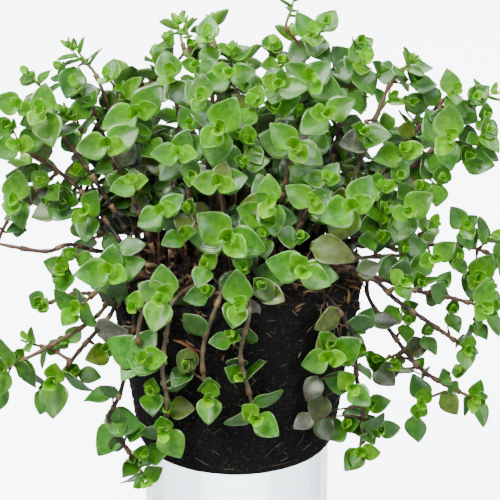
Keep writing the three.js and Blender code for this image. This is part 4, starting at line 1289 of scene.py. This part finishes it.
# Smaller shoots between the large ones, which branch from the nearest stem. One row for each is
# [across, up, leaf length, spin, face, leaves, how much older], as it is seen from in front.
SMALL_SHOOTS = [
    # The crown and its left side
    [-20, 98, 10, 160, 0.6, 3, 0.05],
    [-21, 63, 11, 120, 0.7, 3, 0.1],
    [4, 80, 9, 90, 0.7, 3, 0.1],
    [20, 91, 10, 200, 0.7, 3, 0.1],
    [18, 71, 12, 20, 0.8, 3, 0.15],
    [4, 46, 11, 10, 0.7, 3, 0.2],
    [-97, 20, 10, 200, 0.5, 3, 0.4],
    [-73, 4, 10, 340, 0.6, 3, 0.15],
    [-77, 28, 9, 90, 0.6, 3, 0.15],
    [-85, 28, 9, 200, 0.6, 3, 0.2],
    [-79, 35, 9, 60, 0.5, 3, 0.2],
    [-78, -3, 12, 270, 0.7, 4, 0.15],
    [-73, 68, 13, 60, 0.7, 4, 0.15],
    [-102, 62, 12, 180, 0.7, 3, 0.15],
    [-88, -17, 12, 160, 0.8, 3, 0.05],
    [-75, 98, 10, 170, 0.1, 3, 0],
    [-79, 88, 10, 150, 0.2, 3, 0.1],
    [-18, 89, 12, 0, 0.7, 3, 0.15],
    [10, 78, 11, 90, 0.7, 3, 0.1],
    [18, 97, 10, 90, 0.6, 3, 0.1],
    # The middle
    [-20, 40, 11, 100, 0.7, 3, 0.15],
    [-22, 24, 11, 250, 0.6, 3, 0.4],
    [-24, 14, 11, 200, 0.7, 3, 0.2],
    [3, -1, 10, 90, 0.6, 3, 0.2],
    [13, 21, 13, 160, 0.9, 4, 0.05],
    [12, 13, 10, 270, 0.6, 3, 0.1],
    [28, 12, 11, 180, 0.6, 3, 0.35],
    [12, -10, 12, 330, 0.7, 3, 0.3],
    [-14, 0, 11, 240, 0.7, 3, 0.15],
    [-14, -12, 11, 200, 0.7, 3, 0.2],
    # The right side
    [40, 108, 13, 60, 0.6, 4, 0.1],
    [55, 99, 12, 50, 0.5, 4, 0.15],
    [81, 83, 13, 0, 0.7, 4, 0.15],
    [66, 87, 12, 350, 0.5, 3, 0.15],
    [79, 91, 12, 350, 0.6, 3, 0.1],
    [78, 72, 13, 30, 0.6, 3, 0.2],
    [57, 59, 14, 0, 0.7, 4, 0.2],
    [111, 54, 12, 330, 0.6, 3, 0.2],
    [65, 19, 12, 200, 0.7, 3, 0.25],
    [83, -9, 12, 320, 0.7, 4, 0.15],
    [75, -20, 12, 200, 0.7, 3, 0.2],
    [97, -21, 11, 280, 0.6, 3, 0.2],
    [81, -68, 13, 270, 0.8, 3, 0.1],
    [110, -62, 12, 300, 0.8, 3, 0.05],
    [107, 75, 12, 40, 0.6, 4, 0.1],
    [112, 66, 12, 300, 0.6, 4, 0.15],
    [104, 48, 14, 340, 0.7, 4, 0.15],
    [92, 37, 14, 270, 0.7, 4, 0.15],
    [81, 34, 13, 200, 0.7, 4, 0.2],
    [115, 12, 13, 100, 0.3, 3, 0.1],
    [108, -6, 15, 60, 0.8, 4, 0.05],
    [115, -22, 13, 300, 0.8, 3, 0.1],
    [73, 40, 11, 60, 0.7, 3, 0.15],
    [100, 3, 10, 300, 0.6, 3, 0.15],
    [64, 12, 11, 200, 0.7, 3, 0.2],
    [76, 6, 10, 300, 0.6, 3, 0.2],
    [77, -26, 10, 270, 0.7, 3, 0.1],
    [93, -9, 10, 60, 0.6, 3, 0.15],
    [115, -10, 9, 300, 0.5, 3, 0.1],
    [109, -25, 10, 290, 0.6, 3, 0.2],
    [86, -31, 11, 290, 0.5, 3, 0.3],
    [43, -36, 13, 330, 0.8, 3, 0.1],
    [56, -38, 11, 90, 0.7, 3, 0.2],
    [57, -28, 10, 60, 0.7, 3, 0.1],
    [62, -43, 11, 0, 0.5, 3, 0.35],
    [73, -45, 10, 300, 0.7, 3, 0.15],
    [81, -46, 10, 250, 0.6, 3, 0.2],
    [98, -48, 10, 200, 0.6, 3, 0.2],
    [60, -63, 12, 20, 0.8, 4, 0.15],
    [49, -72, 13, 200, 0.8, 4, 0.2],
    [65, -74, 12, 20, 0.8, 4, 0.15],
    # Down the front of the ball
    [-3, -32, 10, 180, 0.4, 3, 0.3],
    [2, -50, 13, 0, 0.9, 3, 0.3],
    [-22, -46, 12, 250, 0.8, 3, 0.5],
    [-30, -64, 12, 0, 0.9, 3, 0.2],
    [-98, -42, 11, 250, 0.7, 3, 0.1],
    [-86, -57, 13, 250, 0.9, 4, 0.1],
    [-106, -54, 12, 250, 0.8, 3, 0.1],
    [-71, -48, 11, 0, 0.7, 3, 0.2],
    [-76, -34, 11, 60, 0.7, 3, 0.15],
    [-58, -38, 12, 200, 0.8, 3, 0.2],
    [-38, -57, 12, 280, 0.8, 3, 0.1],
    [-50, -74, 12, 0, 0.6, 3, 0.25],
    [-40, -85, 12, 10, 0.6, 3, 0.2],
    [-46, -88, 10, 240, 0.6, 3, 0.15],
]
SMALL_SHOOT_SET_BACK = 4
SMALL_STEM_DRAWN = 0.52
SMALL_OLDER_LEAVES = 0.6
BALL_CLEAR = 5
BRANCH_STEP = 1.5  # mm between the places of a stem that a small one may leave from
branch_places = [np.arange(9, stem.way.length - 12, BRANCH_STEP) for stem in front_stems]
branch_points = np.concatenate([stem.way.at(places) for stem, places in zip(front_stems, branch_places)])


def small_tip(across, up):
    """A tip as deep as the nearest large ones and clear of the ball."""
    gaps = np.linalg.norm(tips_in_view - [across, up], axis=1)
    nearest = np.argsort(gaps)[:4]
    weights = 1 / (gaps[nearest] + 4) ** 2
    back = np.sum(front_tips[nearest, 1] * weights) / np.sum(weights) + SMALL_SHOOT_SET_BACK
    tip = seen(across, up, back)
    while tip[2] < SOIL_TOP + 4 and math.hypot(tip[0], tip[1]) < ball_radius_at(tip[2]) + BALL_CLEAR:
        back -= 1
        tip = seen(across, up, back)
    return tip


def closest(points, place):
    return points[np.argmin(np.linalg.norm(points - place, axis=1))]


small_shoots = Skin()
for across, up, length, spin, face, count, older in SMALL_SHOOTS:
    tip = small_tip(across, up)
    shoot = [tip, length, spin, face, count]
    axis = shoot_axis(shoot)
    start = closest(branch_points, tip - axis * 8)
    way = Way([start, (start + tip - axis * 6) / 2 - UP * 0.5, tip - axis * 5, tip - axis * 2.5, tip])
    stem = Stem(way, SIDE_STEM, shoot, 0)
    knees = add_stem(small_shoots, stem, SMALL_STEM_DRAWN, chance)
    add_heart(small_shoots, stem, chance)
    add_rosette(small_shoots, stem, count, older, chance)
    add_older_leaves(small_shoots, stem, knees, SMALL_OLDER_LEAVES, chance)

# Single leaves that stay on older stems: green, olive, or greyish mauve before they dry. One row for each is
# [across, up, length, spin, how far it faces up, colour], for its middle as it is seen from in front.
STALK = "#4a3024"
SINGLE_LEAVES = [
    [44, 5, 19, 350, 1.6, "#475004"],
    [67, -26, 13, 8, 2.4, "#2e282a"],
    [82, -37, 11, 15, 0.4, "#454c18"],
    [67, -50, 12, 320, 0.3, "#3f4c16"],
    [13, -12, 11, 300, 0.3, "#4c6822"],
    [-46, 8, 11, 10, 0.9, "#447222"],
    [34, -56, 11, 235, 0.2, "#40362f"],
    [37, -65, 12, 250, 0.2, "#3e3c1a"],
    [30, -71, 10, 215, 0.3, "#40362f"],
    [40, -74, 11, 300, 0.2, "#364418"],
    [-28, -53, 10, 12, 2.5, "#3e3434"],
    [-22, -44, 12, 250, 0.1, "#545e18"],
    [60, -2, 11, 20, 0.4, "#34401a"],
    [-62, -59, 13, 185, 2.6, "#3c7a1c"],
    [-50, -71, 16, 345, 0.2, "#3c8414"],
    [-58, -79, 16, 232, 0.1, "#458c18"],
    [-86, 23, 12, 200, 0.4, "#5c7a32"],
    [-78, 24, 12, 345, 0.3, "#3f8022"],
    [-99, 22, 11, 195, 1.5, "#5c6a2c"],
    [-50, -38, 17, 152, 0.1, "#4a9a1a"],
    [-39, -43, 16, 350, 0.1, "#52a41c"],
    [-48, -47, 12, 232, 0.2, "#5cac20"],
    [-40, -35, 14, 50, 0.3, "#428a1c"],
    [-74, 81, 14, 250, 0.5, "#35701c"],
    [-68, 76, 13, 190, 0.9, "#2f5c1c"],
]


def add_stalk(skin, start, foot, along, rise, radii, sides, colour):
    """The thin bowed stalk of a single leaf, from its stem to the leaf's foot."""
    way = Way([start, (start + foot) / 2 + UP * rise, foot, foot + along * 0.4])
    skin.add(*tube(way.at(np.linspace(way.length, 0, len(radii))), radii, sides), linear(colour), kind=1)


for across, up, length, spin, upward, colour in SINGLE_LEAVES:
    along = unit(way_in_picture(spin) + TOWARDS_EYE * chance.uniform(-0.1, 0.25))
    foot = small_tip(across, up) - along * length / 2
    start = closest(branch_points, foot)
    add_stalk(small_shoots, start, foot, along, 1, np.linspace(0.5, 0.35, 12), 6, STALK)
    normal = flat_to(TOWARDS_EYE + UP * upward + RIGHT * chance.uniform(-0.35, 0.35), along)
    leaf = new_leaf(foot, along, normal, length, chance.uniform(0.12, 0.32), chance.uniform(0, 0.12))
    tone = linear(colour) * chance.uniform(0.9, 1.05)
    add_blade(small_shoots, leaf, 0.6, chance, FINE, (tone, tone * 0.8))
# One leaf has dried to an orange-brown strip that hangs at a stem.
dried = linear("#552f0a")
small_shoots.add(*flake(seen(-22, -36, -63), unit(np.array([1.0, -0.1, -0.6])), 3.6, 12, 0.2), dried, kind=1)
small_shoots.made("small_side_shoots", [leaf_tissue, stem_tissue])

# The inside of the plant: older stems that stand close together in the peat, with dull old leaves that the
# outer shoots shade; their colours are darkened as painted shade.
INNER_STEMS = 54
INNER_REACH = 48
INNER_STEP = 7
INNER_STEM, INNER_STEM_DRAWN = 0.9, 0.6
OLD_STALK = "#33241c"
# Painted shade: the shares of an old leaf's colour that stand for the shade of the outer shoots.
PAINTED_SHADE, PAINTED_SHADE_UNDER, DEEP_PAINTED_SHADE = 0.85, 0.8, 0.6  # of the colour of an old leaf in the light
OPEN_SOIL = (18, 60, -24, 12)  # x and y of the soil that lies bare at the right
inner_growth = Skin()
inner_points = []
inner_count = 0
while inner_count < INNER_STEMS:
    turn, radius = chance.uniform(0, 2 * math.pi), INNER_REACH * math.sqrt(chance.random())
    x, y = radius * math.cos(turn), radius * math.sin(turn)
    height = chance.uniform(28, 78) * (1 - 0.35 * radius / INNER_REACH)
    if OPEN_SOIL[0] < x < OPEN_SOIL[1] and OPEN_SOIL[2] < y < OPEN_SOIL[3]:
        continue
    lean = 0.1 + 0.25 * radius / INNER_REACH
    foot = np.array([x, y, SOIL_TOP - 1.5])
    tip = np.array([x * (1 + lean), y * (1 + lean), SOIL_TOP + height])
    tip[:2] += [chance.uniform(-9, 9), chance.uniform(-9, 9)]
    face = chance.uniform(0.55, 0.95) if y < 8 else -chance.uniform(0.3, 0.8)
    shoot = [tip, chance.uniform(10, 14.5), chance.uniform(0, 360), face, 3]
    bow = np.array([chance.uniform(-5, 5), chance.uniform(-5, 5), 4])
    axis = shoot_axis(shoot)
    way = Way([foot, foot + UP * 5, (foot + tip) / 2 + bow, tip - axis * 6, tip - axis * 3, tip])
    stem = Stem(way, INNER_STEM, shoot, 0)
    if rosette_in_the_way(stem):
        continue
    inner_count += 1
    inner_points.extend(way.at(np.arange(8, way.length - 3, 2)))
    add_stem(inner_growth, stem, INNER_STEM_DRAWN, chance, sides=5)
    add_rosette(inner_growth, stem, 3, 0.3, chance, COARSE)
    for number, place in enumerate(np.arange(9, way.length - 12, INNER_STEP)):
        leaf = older_leaf(stem, place, rank_turn(number + 2) - 360, (60, 105), 1, chance)
        dull, under = aged(min(1, 0.62 + place / 150), chance)
        if not in_the_way(leaf):
            # Painted shade darkens this leaf's colours.
            add_blade(inner_growth, leaf, 0.9, chance, COARSE, (dull * PAINTED_SHADE, under * PAINTED_SHADE_UNDER))
# Behind the gaps dull old leaves stand low on these stems, so that one doesn't look right through the plant;
# painted shade darkens them deeper still.
BACK_ROWS = (17, 44)
LEAVES_A_GAP = 7
OPEN_ABOVE = 30
inner_points = np.array(inner_points)
for across, up, radius in [gap for gap in GAPS if gap[1] < OPEN_ABOVE]:
    for _ in range(LEAVES_A_GAP):
        off = [chance.uniform(-1, 1) * radius, chance.uniform(-1, 1) * radius]
        middle = seen(across + off[0], up + off[1], chance.uniform(*BACK_ROWS))
        if middle[2] < SOIL_TOP + 4:
            continue
        start = closest(inner_points, middle)
        along = unit(flat_to(middle - start + UP * 2, TOWARDS_EYE) + TOWARDS_EYE * chance.uniform(-0.3, 0.6))
        length = chance.uniform(10, 14)
        foot = middle - along * length / 2
        add_stalk(inner_growth, start, foot, along, 0.5, np.full(8, 0.4), 5, OLD_STALK)
        normal = flat_to(TOWARDS_EYE + RIGHT * chance.uniform(-0.5, 0.5), along)
        leaf = new_leaf(foot, along, normal, length, 0.2, 0.1)
        dull, under = aged(0.95, chance)
        # Deeper painted shade darkens these leaves' colours.
        add_blade(inner_growth, leaf, 0.9, chance, COARSE, (dull * DEEP_PAINTED_SHADE, under * DEEP_PAINTED_SHADE))
inner_growth.made("inner_growth", [leaf_tissue, stem_tissue])

# The floor: a pale matt table top that runs on behind as a plain pale ground, lit so evenly that it is near
# white, and a light tent of the same brightness round and over it. Soft boxes and the room light the plant.
GROUND_GLOW = 6.2
ROOM_GLOW = 0.72
FLOOR_REACH = 6000
FLOOR_THICK = 10
TENT_RADIUS = 5800
TENT_SIDES = 48
floor_paint = new_material(
    "floor_paint",
    {
        "Base Color": linear("#f4f6f9"),
        "Roughness": 0.9,
        "Specular IOR Level": 0.1,
        "Emission Color": linear("#f1f5fb"),
        "Emission Strength": GROUND_GLOW,
    },
)
corners = [(-1, -1), (1, -1), (1, 1), (-1, 1)]
floor_points = [(x * FLOOR_REACH, y * FLOOR_REACH, z) for z in (-FLOOR_THICK, 0) for x, y in corners]
floor_faces = [(3, 2, 1, 0), (4, 5, 6, 7), (0, 1, 5, 4), (1, 2, 6, 5), (2, 3, 7, 6), (3, 0, 4, 7)]
floor = new_piece("floor", floor_points, floor_faces, [floor_paint])
floor.data.polygons.foreach_set("use_smooth", [False] * len(floor_faces))
tent_profile = [(0, -FLOOR_THICK - 5), *arc((0, 0), TENT_RADIUS, -0.2, 89, 16), (0, TENT_RADIUS)]
tent = new_piece("light_tent", *turned(tent_profile, TENT_SIDES), [floor_paint])
for backdrop in (floor, tent):
    backdrop.visible_diffuse = False
    backdrop.visible_glossy = False
    backdrop.visible_shadow = False


def add_lamp(name, place, size, power, colour):
    """A square soft box that faces the middle of the plant."""
    lamp = bpy.data.lights.new(name, "AREA")
    lamp.size = size * MM
    lamp.energy = power
    lamp.color = linear(colour)[:3]
    holder = bpy.data.objects.new(name, lamp)
    holder.location = Vector(place) * MM
    holder.rotation_euler = (Vector((0, 0, SOIL_TOP)) - Vector(place)).to_track_quat("-Z", "Y").to_euler()
    bpy.context.scene.collection.objects.link(holder)


add_lamp("key_light", (-600, -800, 1400), 600, 36, "#fffefb")
add_lamp("top_light", (-50, -100, 1900), 900, 30, "#f8fbff")
add_lamp("fill_light", (900, -700, 700), 700, 10, "#f4f8ff")
add_lamp("back_light", (300, 900, 1100), 700, 18, "#ffffff")
world = bpy.data.worlds.new("studio")
world.use_nodes = True
world.node_tree.nodes["Background"].inputs["Color"].default_value = linear("#f2f6fb")
world.node_tree.nodes["Background"].inputs["Strength"].default_value = ROOM_GLOW
bpy.context.scene.world = world
